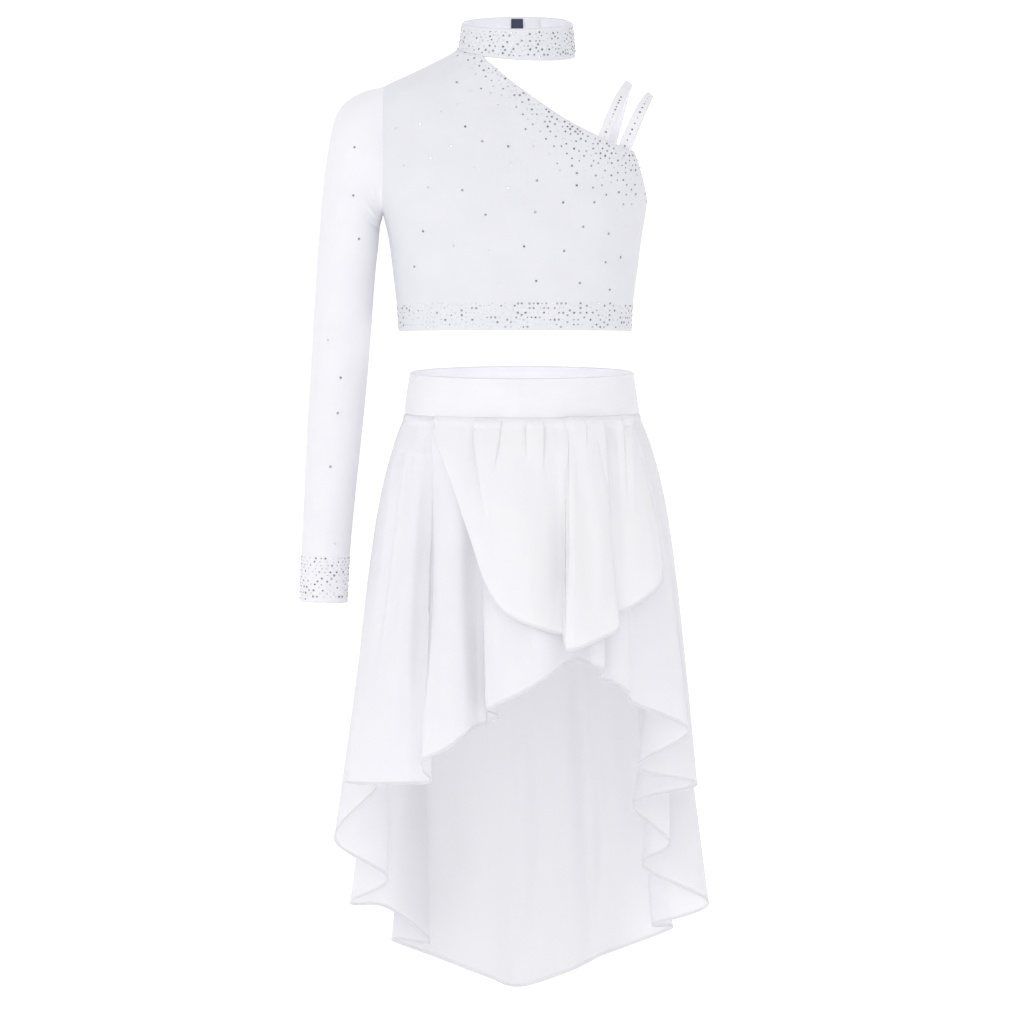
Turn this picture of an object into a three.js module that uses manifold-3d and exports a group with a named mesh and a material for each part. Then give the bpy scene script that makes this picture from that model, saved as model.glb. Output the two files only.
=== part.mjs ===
// Dance crop top and skirt set, kept in the hollow form it has when worn.
// Millimetres. +X is the picture's right, -Y the wearer's front, +Z up.
// The origin is the middle of the waistband's upper opening, where the wearer holds the skirt up.
import * as THREE from "three";
import Module from "manifold-3d";

const wasm = await Module();
wasm.setup();

const SEAM_GAP = 0.3; // space left between two pieces that are sewn together
const KNIT = 1.4; // cloth of the crop top
const CHIFFON = 1.0; // cloth of the skirt
const BAND = 2.2; // elastic inside its casing
const COLLAR = 1.8; // knit folded double

const KNIT_LOOK = { color: 0xeceef4, roughness: 0.85 };
const SKIRT_LOOK = { color: 0xf4f5f9, roughness: 0.7 };
const BAND_LOOK = { color: 0xf3f4f8, roughness: 0.55 };
const LABEL_LOOK = { color: 0x232a45, roughness: 0.8 };

const torso = {
  middle: -5, // X of the body's centre line
  armholeSeam: -124, // the sleeve is sewn on along this upright plane
  panelColumns: 16,
  rings: 14,
};

// Sections of the crop top from its hem to the foot of the collar. left and right are X at the sides,
// front and back are depths, square is the power of the outline (2 is an ellipse), frontRise and
// backRise lift the middle of the front and of the back.
const torsoSections = [
  { z: 36, left: -110, right: 97.5, front: 72, back: 67, square: 2.3, frontRise: 4, backRise: 0 },
  { z: 64, left: -112.5, right: 99.5, front: 75, back: 69, square: 2.3, frontRise: 3, backRise: 0 },
  { z: 91, left: -115.5, right: 103, front: 78, back: 71, square: 2.3, frontRise: 1, backRise: 0 },
  { z: 118, left: -119, right: 106.5, front: 80, back: 73, square: 2.3, frontRise: 0, backRise: 0 },
  { z: 140, left: -124, right: 110, front: 80, back: 75, square: 2.4, frontRise: 0, backRise: 0 },
  { z: 160, left: -130, right: 112.5, front: 79, back: 76, square: 2.5, frontRise: 0, backRise: 0 },
  { z: 190, left: -134, right: 114, front: 75, back: 76, square: 2.5, frontRise: 0, backRise: 0 },
  { z: 220, left: -135, right: 114, front: 67, back: 73, square: 2.4, frontRise: 0, backRise: 0 },
  { z: 242, left: -132, right: 112, front: 58, back: 66, square: 2.3, frontRise: 0, backRise: 1 },
  { z: 254, left: -124, right: 104, front: 53, back: 59, square: 2.2, frontRise: -1, backRise: 2 },
  { z: 266, left: -99, right: 86, front: 50, back: 53, square: 2.1, frontRise: -3, backRise: 3 },
  { z: 277, left: -76, right: 64, front: 47.5, back: 48.5, square: 2, frontRise: -5, backRise: 5 },
  { z: 285, left: -61, right: 50, front: 46, back: 46.5, square: 2, frontRise: -5.6, backRise: 5.6 },
  { z: 291, left: -55, right: 46, front: 45, back: 45, square: 2, frontRise: -5.6, backRise: 5.6 },
];

const collar = {
  middle: -4.4,
  foot: 285.3,
  footSlant: -0.06, // the foot is higher on the shoulder that has the sleeve, in mm for each mm of X
  rim: 311.3,
  footWidth: 51.5,
  footDepth: 45.5,
  topWidth: 48.8,
  topDepth: 43.6,
  lean: 0.123, // rise from front to back, in mm for each mm of depth
  innerEnd: 23, // how far right of the centre back the inner end reaches
  lap: 30, // how far the outer end reaches over the inner one
  columns: 44,
};

const label = { width: 11, height: 18, thick: 1, belowRim: 1 };

// The slanting neckline seen from the front, from the collar to the corner of the armhole.
const neckline = [
  [-37, 284],
  [-29, 276],
  [-11, 261],
  [16, 241],
  [42, 224],
  [69, 210],
  [85, 202.5],
  [99, 197],
];

const bareArmhole = { z: 224, halfWidth: 47, halfHeight: 73 };

// Rings of the sleeve, each in a plane across the arm: its outer and inner point in the picture,
// half its depth, and the Y of its centre.
const sleeveRings = [
  { outX: -143, outZ: 249.5, inX: -126, inZ: 136.5, depth: 41, y: 1 },
  { outX: -159, outZ: 239.5, inX: -127.2, inZ: 133, depth: 41, y: 1 },
  { outX: -168, outZ: 224, inX: -128, inZ: 129, depth: 40, y: 1 },
  { outX: -173, outZ: 200, inX: -128.7, inZ: 122, depth: 38.5, y: 1 },
  { outX: -178, outZ: 165, inX: -129.6, inZ: 111, depth: 36, y: 0 },
  { outX: -181, outZ: 129, inX: -131.2, inZ: 97, depth: 34, y: 0 },
  { outX: -184, outZ: 90, inX: -133.2, inZ: 75, depth: 32, y: -1 },
  { outX: -187, outZ: 41, inX: -136, inZ: 36, depth: 30.5, y: -2 },
  { outX: -190, outZ: -10, inX: -140, inZ: -13, depth: 29, y: -3 },
  { outX: -193, outZ: -60, inX: -145, inZ: -62, depth: 27.5, y: -5 },
  { outX: -195.5, outZ: -115, inX: -150.7, inZ: -116, depth: 25.5, y: -8 },
  { outX: -198, outZ: -166, inX: -155.3, inZ: -167, depth: 23.5, y: -10 },
  { outX: -199.5, outZ: -206, inX: -157.3, inZ: -207, depth: 22.5, y: -11 },
];
const sleeveColumns = 24;

// Two flat straps over the shoulder: where each is sewn to the front and back, and its highest point.
const strapSize = { width: 7.5, thick: 1.6, tuck: 8, spread: 36, columns: 24 };
const straps = {
  strap_inner: { frontX: 71.5, backX: 81, topX: 96, topZ: 258 },
  strap_outer: { frontX: 90, backX: 94, topX: 115, topZ: 248 },
};

const waist = {
  topWidth: 99.6,
  topDepth: 79,
  footWidth: 104.6,
  footDepth: 83,
  rim: -2,
  foot: -36.5,
  topLean: 0.022, // the rim is lower in front, in mm for each mm of depth
  footLean: 0.012,
  columns: 48,
  rows: 3,
};

// How far the skirt stands out from the waistband at a given drop below it: a quick flare over the
// hips and then a straight, slower one. sway is its lean to the picture's right as it drops.
const flare = { hip: 23, hipDrop: 55, slope: 0.085, sway: 0.013 };

// The folds of the long layer round its hem, from the left side seam across the front and back
// behind. turn is the angle at the waist in degrees (0 is the front, 90 the picture's right), x, y
// and z are the hem, and late says how late the fold opens on its way down (under 1 is a pleat that
// starts at the band).
const hemFolds = [
  { turn: -86, x: -158, y: -30, z: -369, late: 1.3 },
  { turn: -70, x: -131, y: -68, z: -366, late: 0.9 },
  { turn: -56, x: -105, y: -84, z: -363, late: 0.7 },
  { turn: -50, x: -81, y: -88, z: -361, late: 0.7 },
  { turn: -47.5, x: -91, y: -114, z: -342, late: 0.7 },
  { turn: -40, x: -68, y: -127, z: -328, late: 1 },
  { turn: -30, x: -49, y: -124, z: -314, late: 1.2 },
  { turn: -24, x: -36, y: -102, z: -308, late: 1.2 },
  { turn: -22, x: -21, y: -99, z: -302, late: 1.2 },
  { turn: -19.5, x: -28, y: -120, z: -293, late: 1.2 },
  { turn: -6, x: -2, y: -134, z: -278, late: 1.2 },
  { turn: 7, x: 20, y: -132, z: -265, late: 1.2 },
  { turn: 20, x: 45, y: -113, z: -250, late: 1 },
  { turn: 28, x: 62, y: -127, z: -253, late: 1.2 },
  { turn: 33.5, x: 73, y: -124, z: -258, late: 1.4 },
  { turn: 36, x: 68, y: -107, z: -268, late: 1.4 },
  { turn: 42, x: 82, y: -108, z: -271, late: 1.2 },
  { turn: 49, x: 95, y: -98, z: -282, late: 1 },
  { turn: 55, x: 100, y: -84, z: -292, late: 0.8 },
  { turn: 69, x: 149, y: -54, z: -320, late: 1 },
  { turn: 79, x: 103, y: -31, z: -355, late: 1.6 },
  { turn: 88, x: 158, y: -6, z: -373, late: 0.9 },
  { turn: 97, x: 100, y: 16, z: -394, late: 1.8 },
  { turn: 106, x: 135, y: 38, z: -431, late: 1.2 },
  { turn: 114, x: 111, y: 58, z: -456, late: 1.8 },
  { turn: 124, x: 171, y: 80, z: -492, late: 0.7 },
  { turn: 133, x: 122, y: 100, z: -515, late: 1.6 },
  { turn: 140, x: 139, y: 117, z: -520, late: 1.2 },
  { turn: 150, x: 98, y: 127, z: -538, late: 1.2 },
  { turn: 160, x: 70, y: 143, z: -551, late: 1.2 },
  { turn: 168, x: 44, y: 134, z: -563, late: 1 },
  { turn: 180, x: -2, y: 148, z: -579, late: 1 },
  { turn: 192, x: -31, y: 138, z: -569, late: 1 },
  { turn: 207, x: -76, y: 142, z: -552, late: 1 },
  { turn: 219, x: -120, y: 124, z: -532, late: 1 },
  { turn: 225, x: -84, y: 106, z: -532, late: 1.4 },
  { turn: 230, x: -124, y: 93, z: -498, late: 1.2 },
  { turn: 236, x: -157, y: 80, z: -492, late: 1.1 },
  { turn: 245, x: -122, y: 54, z: -466, late: 1.6 },
  { turn: 255, x: -170, y: 26, z: -426, late: 1.4 },
  { turn: 265, x: -131, y: -4, z: -376, late: 1.4 },
];
const leftSeam = 0; // the row of each side seam
const rightSeam = 19;
const columnsPerFold = 3;
const longRows = 9;
const inset = 0.8; // the long layer's top edge sits this far inside the middle of the band

// Gathers pulled into the waist seam: the X of each dark pleat across the front, how deep it is and
// how far down it runs. The back repeats an even gather that isn't seen.
const frontGathers = [
  { x: -98, depth: 2.5, run: 30 },
  { x: -80, depth: 2, run: 40 },
  { x: -38, depth: 2.5, run: 70 },
  { x: -20, depth: 2.5, run: 25 },
  { x: 4, depth: 2, run: 20 },
  { x: 19, depth: 1.8, run: 15 },
  { x: 39, depth: 3.5, run: 90 },
  { x: 55, depth: 2, run: 15 },
  { x: 76, depth: 2.2, run: 40 },
  { x: 92, depth: 3.5, run: 60 },
];
const gatherWidth = 5; // half the width of a pleat at the seam
const backGather = { count: 18, depth: 2, run: 35 };

// The petal on top: its length at each angle of the waist, how far its hem swings sideways, and how
// far it stands off the long layer.
const petalFolds = [
  { turn: -47, drop: 8, swing: 0, off: 0 },
  { turn: -38, drop: 33, swing: 0, off: 0 },
  { turn: -31, drop: 56, swing: 0, off: 0 },
  { turn: -24.5, drop: 86, swing: 0, off: 1 },
  { turn: -20, drop: 110, swing: 0, off: 1 },
  { turn: -15, drop: 140, swing: 0, off: 2 },
  { turn: -9, drop: 165, swing: 0, off: 3 },
  { turn: -1, drop: 178, swing: 0, off: 2 },
  { turn: 8, drop: 186, swing: 1, off: 0 },
  { turn: 13, drop: 191, swing: 6, off: 0 },
  { turn: 16, drop: 202, swing: -6, off: 9 },
  { turn: 20, drop: 200, swing: -3, off: 11 },
  { turn: 25, drop: 194, swing: 0, off: 9 },
  { turn: 30, drop: 188, swing: 4, off: 8 },
  { turn: 33, drop: 182, swing: 3, off: 6 },
  { turn: 35, drop: 173, swing: -3, off: 1 },
  { turn: 40, drop: 168, swing: 0, off: 2 },
  { turn: 46, drop: 161, swing: 0, off: 4 },
  { turn: 53, drop: 152, swing: 0, off: 5 },
  { turn: 58, drop: 146, swing: 0, off: 2 },
  { turn: 61, drop: 131, swing: 0, off: 0 },
];
const petal = { rows: 8, columnsPerFold: 2, clear: 1.1, standOff: 0.045 };

const UP = new THREE.Vector3(0, 0, 1);
const radians = THREE.MathUtils.degToRad;

/** The row of a table at a place between its rows, each column following a smooth curve. */
function between(rows, key, at) {
  const end = rows.length - 1;
  const after = rows.findIndex((row) => row[key] > at);
  const i = after < 0 ? end - 1 : Math.max(0, after - 1);
  const [a, b, c, d] = [Math.max(0, i - 1), i, i + 1, Math.min(end, i + 2)].map((k) => rows[k]);
  const span = c[key] - b[key];
  const t = THREE.MathUtils.clamp((at - b[key]) / span, 0, 1);
  const made = {};
  for (const name of Object.keys(b)) {
    const slopeIn = ((c[name] - a[name]) / (c[key] - a[key])) * span;
    const slopeOut = ((d[name] - b[name]) / (d[key] - b[key])) * span;
    made[name] =
      (2 * t ** 3 - 3 * t ** 2 + 1) * b[name] +
      (t ** 3 - 2 * t ** 2 + t) * slopeIn +
      (3 * t ** 2 - 2 * t ** 3) * c[name] +
      (t ** 3 - t ** 2) * slopeOut;
  }
  return made;
}

/** Numbers from one value to another in even steps. */
function steps(from, to, count) {
  return Array.from({ length: count + 1 }, (_, i) => THREE.MathUtils.lerp(from, to, i / count));
}

/** Flat normal of a surface at (across, down), from points a little to each side. */
function normalAt(surface, across, down, reachAcross, reachDown) {
  const sideways = surface(across + reachAcross, down).sub(surface(across - reachAcross, down));
  const along = surface(across, down + reachDown).sub(surface(across, down - reachDown));
  return along.cross(sideways).normalize();
}

/**
 * Closed wall with a surface in its middle. acrosses and downs are where the surface is worked out,
 * seen from outside: across goes to the right and down goes down. A closed wall goes round.
 */
function wall(surface, acrosses, downs, thick, closed = false) {
  const columns = acrosses.length;
  const rows = downs.length;
  const reachAcross = (acrosses[1] - acrosses[0]) / 4;
  const reachDown = (downs[rows - 1] - downs[0]) / rows / 8;
  const positions = [];
  for (const side of [0.5, -0.5]) {
    for (const down of downs) {
      for (const across of acrosses) {
        const normal = normalAt(surface, across, down, reachAcross, reachDown);
        positions.push(...surface(across, down).addScaledVector(normal, side * thick));
      }
    }
  }
  const half = rows * columns;
  const index = [];
  const quad = (a, b, c, d) => index.push(a, b, c, a, c, d);
  const spot = (i, j) => i * columns + (j % columns);
  for (let j = 0; j < (closed ? columns : columns - 1); j += 1) {
    for (let i = 0; i < rows - 1; i += 1) {
      const corners = [spot(i, j), spot(i + 1, j), spot(i + 1, j + 1), spot(i, j + 1)];
      quad(...corners);
      quad(...corners.reverse().map((corner) => corner + half));
    }
    const end = rows - 1;
    quad(spot(0, j), spot(0, j + 1), half + spot(0, j + 1), half + spot(0, j));
    quad(spot(end, j + 1), spot(end, j), half + spot(end, j), half + spot(end, j + 1));
  }
  if (!closed) {
    const end = columns - 1;
    for (let i = 0; i < rows - 1; i += 1) {
      quad(spot(i + 1, 0), spot(i, 0), half + spot(i, 0), half + spot(i + 1, 0));
      quad(spot(i, end), spot(i + 1, end), half + spot(i + 1, end), half + spot(i, end));
    }
  }
  const geometry = new THREE.BufferGeometry();
  geometry.setAttribute("position", new THREE.Float32BufferAttribute(positions, 3));
  geometry.setIndex(index);
  return geometry;
}

/** The geometry as a solid that can be cut. */
function solid(geometry) {
  return new wasm.Manifold(
    new wasm.Mesh({
      numProp: 3,
      vertProperties: new Float32Array(geometry.getAttribute("position").array),
      triVerts: new Uint32Array(geometry.getIndex().array),
    }),
  );
}

/** The geometry with the cutters taken away. */
function cut(geometry, ...cutters) {
  const made = cutters.reduce((left, cutter) => left.subtract(solid(cutter)), solid(geometry));
  const mesh = made.getMesh();
  const result = new THREE.BufferGeometry();
  result.setAttribute("position", new THREE.BufferAttribute(mesh.vertProperties, 3));
  result.setIndex(new THREE.BufferAttribute(mesh.triVerts, 1));
  return result;
}

/** A flat outline pushed straight through the garment, as a cutter. */
function prism(shape, depth, turn) {
  const flat = new THREE.ExtrudeGeometry(shape, { depth, bevelEnabled: false, curveSegments: 40 });
  flat.deleteAttribute("normal");
  flat.deleteAttribute("uv");
  flat.applyMatrix4(turn);
  return merged(flat);
}

/** The geometry with its doubled vertices joined, as a closed surface. */
function merged(geometry) {
  const position = geometry.getAttribute("position");
  const seen = new Map();
  const points = [];
  const index = [];
  for (let i = 0; i < position.count; i += 1) {
    const point = [position.getX(i), position.getY(i), position.getZ(i)];
    const key = point.map((value) => value.toFixed(4)).join();
    if (!seen.has(key)) {
      seen.set(key, points.length / 3);
      points.push(...point);
    }
    index.push(seen.get(key));
  }
  const result = new THREE.BufferGeometry();
  result.setAttribute("position", new THREE.Float32BufferAttribute(points, 3));
  result.setIndex(index);
  return result;
}

/** A number raised to a power with its sign kept. */
function power(value, exponent) {
  return Math.sign(value) * Math.abs(value) ** exponent;
}

/** Point of the crop top at a height and an angle, 0 in front and 90 at the picture's right. */
function torsoPoint(turn, z) {
  const row = between(torsoSections, "z", z);
  const sideways = power(Math.sin(radians(turn)), 2 / row.square);
  const forward = power(Math.cos(radians(turn)), 2 / row.square);
  const half = sideways < 0 ? torso.middle - row.left : row.right - torso.middle;
  const depth = forward > 0 ? row.front : row.back;
  const rise = forward > 0 ? row.frontRise : row.backRise;
  return new THREE.Vector3(
    torso.middle + half * sideways,
    -depth * forward,
    z + rise * Math.abs(forward),
  );
}

/** Front or back panel of the crop top before it is trimmed, reaching a little past the collar. */
function torsoPanel(from, to) {
  const bottom = torsoSections[0].z;
  const height = torsoSections.at(-1).z - bottom;
  const downs = steps(0, 1, torso.rings).map((step) => step ** 1.35);
  const surface = (turn, down) => torsoPoint(turn, bottom + height * (1 - down));
  return wall(surface, steps(from, to, torso.panelColumns), downs, KNIT);
}

/** A cutter with an outline seen from the side, from one X to another, rising by slant per mm. */
function sidePrism(shape, fromX, toX, slant = 0) {
  const turn = new THREE.Matrix4().makeBasis(
    new THREE.Vector3(0, 1, 0),
    UP,
    new THREE.Vector3(1, 0, slant),
  );
  turn.setPosition(fromX, 0, slant * fromX);
  return prism(shape, toX - fromX, turn);
}

/** A cutter with an outline seen from the front, right through the garment. */
function frontPrism(shape) {
  const turn = new THREE.Matrix4().makeRotationX(Math.PI / 2);
  turn.setPosition(0, 200, 0);
  return prism(shape, 400, turn);
}

/** A four-sided outline between two corners. */
function rectangle(left, bottom, right, top) {
  const shape = new THREE.Shape();
  shape.moveTo(left, bottom);
  shape.lineTo(right, bottom);
  shape.lineTo(right, top);
  shape.lineTo(left, top);
  return shape;
}

/** The sliver between front and back, at the side and shoulder seams. */
function sideSeamCutter() {
  return sidePrism(rectangle(-SEAM_GAP / 2, 0, SEAM_GAP / 2, 400), -200, 200);
}

/** Everything above the foot of the collar, which leans forward. */
function collarSeamCutter() {
  const at = (y) => collar.foot - SEAM_GAP + collar.lean * y;
  const shape = new THREE.Shape();
  shape.moveTo(-120, at(-120));
  shape.lineTo(120, at(120));
  shape.lineTo(120, 400);
  shape.lineTo(-120, 400);
  return sidePrism(shape, -200, 200, collar.footSlant);
}

/** Everything above the slanting neckline. */
function necklineCutter() {
  const points = neckline.map(([x, z]) => new THREE.Vector2(x, z));
  const shape = new THREE.Shape();
  shape.moveTo(points[0].x, 340);
  shape.lineTo(points[0].x, points[0].y);
  shape.splineThru(points.slice(1));
  shape.lineTo(200, points.at(-1).y - 30);
  shape.lineTo(200, 340);
  return frontPrism(shape);
}

/** The armhole of the bare shoulder. */
function bareArmholeCutter() {
  const shape = new THREE.Shape();
  shape.absellipse(0, bareArmhole.z, bareArmhole.halfWidth, bareArmhole.halfHeight, 0, Math.PI * 2);
  return sidePrism(shape, 40, 240);
}

/** Everything on one side of the upright plane where the sleeve is sewn on. */
function sleeveSeamCutter(side) {
  const seam = torso.armholeSeam - (side * SEAM_GAP) / 2;
  return frontPrism(rectangle(Math.min(seam, seam + side * 90), 0, Math.max(seam, seam + side * 90), 300));
}

/** Outline of the armhole on the seam plane, from the armpit up the front and down the back. */
function armholeOutline() {
  const front = [];
  const back = [];
  for (let z = 130; z <= 262; z += 1) {
    const row = between(torsoSections, "z", z);
    const reach = (torso.middle - torso.armholeSeam) / (torso.middle - row.left);
    if (reach < 1) {
      const side = (1 - reach ** row.square) ** (1 / row.square);
      front.push(new THREE.Vector3(0, -row.front * side, z + row.frontRise * side));
      back.unshift(new THREE.Vector3(0, row.back * side, z + row.backRise * side));
    }
  }
  return new THREE.CatmullRomCurve3([...front, ...back], true);
}

/** The long sleeve, from just inside the armhole to the cuff. */
function sleeveWall() {
  const outline = armholeOutline();
  const ringPoint = (turn, i) => {
    if (i < 2) {
      const point = outline.getPointAt((((turn / 360) % 1) + 1) % 1);
      return point.setX(torso.armholeSeam + 0.6 - i * 1.6);
    }
    const ring = sleeveRings[Math.min(i, sleeveRings.length + 1) - 2];
    const outer = new THREE.Vector3(ring.outX, ring.y, ring.outZ);
    const inner = new THREE.Vector3(ring.inX, ring.y, ring.inZ);
    const point = inner.lerp(outer, (1 - Math.cos(radians(turn))) / 2);
    point.y -= ring.depth * Math.sin(radians(turn));
    return point;
  };
  const surface = (turn, down) => {
    const i = THREE.MathUtils.clamp(Math.floor(down), 0, sleeveRings.length);
    return ringPoint(turn, i).lerp(ringPoint(turn, i + 1), down - i);
  };
  const turns = steps(0, 360, sleeveColumns).slice(0, sleeveColumns);
  return wall(surface, turns, steps(0, sleeveRings.length + 1, sleeveRings.length + 1), KNIT, true);
}

/** Point of the collar: turn as on the torso, part 0 at its foot and 1 at its rim. */
function collarPoint(turn, part, out) {
  const width = THREE.MathUtils.lerp(collar.footWidth, collar.topWidth, part) + out;
  const depth = THREE.MathUtils.lerp(collar.footDepth, collar.topDepth, part) + out;
  const x = collar.middle + width * Math.sin(radians(turn));
  const y = -depth * Math.cos(radians(turn));
  return new THREE.Vector3(
    x,
    y,
    THREE.MathUtils.lerp(collar.foot + collar.footSlant * x, collar.rim, part) + collar.lean * y,
  );
}

/** The collar: one band from its outer end at the back, round the neck, to its inner end. */
function collarWall() {
  const perDegree = radians(1) * collar.footWidth;
  const innerEnd = 180 - collar.innerEnd / perDegree;
  const outerEnd = innerEnd - 360 + -collar.lap / perDegree;
  const surface = (turn, down) => {
    const out = THREE.MathUtils.smoothstep(outerEnd + 60 - turn, 0, 25) * (COLLAR + 0.5);
    return collarPoint(turn, 1 - down, out);
  };
  return wall(surface, steps(outerEnd, innerEnd, collar.columns), [0, 0.5, 1], COLLAR);
}

/** The plain patch inside the back of the collar. */
function labelWall() {
  const inside = -(COLLAR + label.thick) / 2 - SEAM_GAP - 0.1;
  const height = collar.rim - collar.foot;
  const top = 1 - label.belowRim / height;
  const bottom = top - label.height / height;
  const spread = label.width / 2 / (radians(1) * collar.footWidth);
  const surface = (turn, part) => collarPoint(turn, part, inside);
  return wall(surface, steps(180 - spread, 180 + spread, 3), [top, bottom], label.thick);
}

/** Y of the crop top's cloth at a place seen from the front (side -1) or the back (side 1). */
function torsoDepth(x, z, side) {
  const row = between(torsoSections, "z", z);
  const half = x < torso.middle ? torso.middle - row.left : row.right - torso.middle;
  const reach = Math.min(1, Math.abs(x - torso.middle) / half);
  const depth = side < 0 ? row.front : row.back;
  return side * depth * (1 - reach ** row.square) ** (1 / row.square);
}

/** The same, moved inwards so that something of that thickness lies just inside the cloth. */
function insideDepth(x, z, side, thick) {
  const slopeX = (torsoDepth(x + 1, z, side) - torsoDepth(x - 1, z, side)) / 2;
  const slopeZ = (torsoDepth(x, z + 1, side) - torsoDepth(x, z - 1, side)) / 2;
  const clear = (KNIT + thick) / 2 + SEAM_GAP + 0.5;
  return torsoDepth(x, z, side) - side * clear * Math.hypot(1, slopeX, slopeZ);
}

/** Height of the slanting neckline at an X. */
function necklineHeight(x) {
  const i = Math.max(1, neckline.findIndex((point) => point[0] > x));
  const [left, right] = [neckline[i - 1], neckline[i]];
  return THREE.MathUtils.mapLinear(x, left[0], right[0], left[1], right[1]);
}

/** A flat strap, tucked behind the neckline in front and behind, and arched over the shoulder. */
function strapWall({ frontX, backX, topX, topZ }) {
  const edge = (side) => {
    const shift = (side * strapSize.width) / 2;
    const foot = (x, facing, below) => {
      const z = necklineHeight(x) - shift * 0.5 - below;
      return new THREE.Vector3(x + shift, insideDepth(x + shift, z, facing, strapSize.thick), z);
    };
    const shoulder = (x, y, share) => {
      const z = THREE.MathUtils.lerp(necklineHeight(x), topZ, share);
      return new THREE.Vector3(THREE.MathUtils.lerp(x, topX, 0.62) + shift, y, z - shift * 0.5);
    };
    return new THREE.CatmullRomCurve3([
      foot(frontX, -1, strapSize.tuck),
      foot(frontX, -1, strapSize.tuck / 2),
      foot(frontX, -1, 0),
      shoulder(frontX, -strapSize.spread, 0.7),
      new THREE.Vector3(topX + shift, 0, topZ - shift * 0.5),
      shoulder(backX, strapSize.spread, 0.7),
      foot(backX, 1, 0),
      foot(backX, 1, strapSize.tuck / 2),
      foot(backX, 1, strapSize.tuck),
    ]);
  };
  const edges = [edge(-1), edge(1)];
  const surface = (side, down) => {
    const [left, right] = edges.map((curve) => curve.getPoint(THREE.MathUtils.clamp(down, 0, 1)));
    return left.lerp(right, (side + 1) / 2);
  };
  return wall(surface, [-1, 0, 1], steps(0, 1, strapSize.columns), strapSize.thick);
}

/** Point of the waistband: part 0 at its rim and 1 at its foot. */
function waistPoint(turn, part) {
  const width = THREE.MathUtils.lerp(waist.topWidth, waist.footWidth, part);
  const depth = THREE.MathUtils.lerp(waist.topDepth, waist.footDepth, part);
  const lean = THREE.MathUtils.lerp(waist.topLean, waist.footLean, part);
  const y = -depth * Math.cos(radians(turn));
  const z = THREE.MathUtils.lerp(waist.rim, waist.foot, part) + lean * y;
  return new THREE.Vector3(width * Math.sin(radians(turn)), y, z);
}

/** The wide elastic band. */
function waistbandWall() {
  const turns = steps(0, 360, waist.columns).slice(0, waist.columns);
  return wall(waistPoint, turns, steps(0, 1, waist.rows), BAND, true);
}

/** Flat direction straight out of the waist ellipse at an angle. */
function outward(turn) {
  const x = Math.sin(radians(turn)) / waist.footWidth;
  const y = -Math.cos(radians(turn)) / waist.footDepth;
  return new THREE.Vector3(x, y, 0).normalize();
}

/** How far the skirt hangs out from the waistband at a drop below it. */
function stand(drop) {
  return flare.hip * (1 - Math.exp(-drop / flare.hipDrop)) + flare.slope * drop;
}

/** Depth of the gathers at an angle of the waist and a drop below it. */
function gather(turn, drop) {
  const x = waist.footWidth * Math.sin(radians(turn));
  const swell = 1 - Math.exp(-(drop + 3) / 9);
  if (Math.cos(radians(turn)) < 0) {
    const wave = Math.cos(radians(turn) * backGather.count * 2);
    return wave * (backGather.depth / 2) * swell * Math.exp(-drop / backGather.run);
  }
  return frontGathers.reduce((sum, pleat) => {
    const near = Math.exp(-(((x - pleat.x) / (gatherWidth + drop * 0.08)) ** 2));
    return sum - pleat.depth * near * swell * Math.exp(-drop / pleat.run);
  }, 0);
}

/** Point of the smooth skirt without its folds, out from the seam by so much. */
function skirtBase(turn, drop, out) {
  const point = waistPoint(turn, 1);
  point.addScaledVector(outward(turn), stand(drop) + out + gather(turn, drop));
  point.x += flare.sway * drop;
  point.z -= drop + SEAM_GAP * 2;
  return point;
}

/** The table of folds carried on past both ends, so that it can be followed all the way round. */
function roundFolds() {
  const turned = (fold, degrees) => ({ ...fold, turn: fold.turn + degrees });
  const before = hemFolds.slice(-2).map((fold) => turned(fold, -360));
  const after = hemFolds.slice(0, 3).map((fold) => turned(fold, 360));
  return [...before, ...hemFolds, ...after].map((fold, i) => ({ spot: i - 2, ...fold }));
}

const foldsRound = roundFolds();

/** Point of the long layer: spot counts its folds, and part is 0 at the band and 1 at the hem. */
function longPoint(spot, part) {
  const fold = between(foldsRound, "spot", spot);
  const length = waist.foot - SEAM_GAP * 2 - fold.z;
  const point = skirtBase(fold.turn, length * part, -inset);
  const hem = skirtBase(fold.turn, length, -inset);
  const opened = Math.max(0, part) ** fold.late;
  point.x += (fold.x - hem.x) * opened;
  point.y += (fold.y - hem.y) * opened;
  return point;
}

/** A panel of the long layer between two side seams. */
function longPanel(from, to) {
  const edge = 0.007;
  const count = (to - from) * columnsPerFold;
  const spots = steps(from, to, count).map((spot) => THREE.MathUtils.clamp(spot, from + edge, to - edge));
  const parts = steps(0, 1, longRows).map((step) => step ** 1.25);
  return wall(longPoint, spots, parts, CHIFFON);
}

const petalSpots = petalFolds.map((fold, i) => ({ spot: i, ...fold }));

/** Point of the petal, counted in the same way. */
function petalPoint(spot, part) {
  const fold = between(petalSpots, "spot", spot);
  const drop = fold.drop * part;
  const out = petal.clear + petal.standOff * drop + fold.off * part;
  const point = skirtBase(fold.turn, drop, out);
  const sideways = outward(fold.turn).cross(UP).negate();
  return point.addScaledVector(sideways, fold.swing * Math.max(0, part) ** 1.2);
}

/** The petal on top of the front. */
function petalPanel() {
  const last = petalFolds.length - 1;
  const parts = steps(0, 1, petal.rows).map((step) => step ** 1.1);
  return wall(petalPoint, steps(0, last, last * petal.columnsPerFold), parts, CHIFFON);
}

const root = new THREE.Group();
root.name = "dance_set";

/** Adds one piece to the set with its own material. */
function add(name, geometry, look) {
  const mesh = new THREE.Mesh(geometry, new THREE.MeshStandardMaterial({ ...look, metalness: 0 }));
  mesh.name = name;
  root.add(mesh);
}

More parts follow.
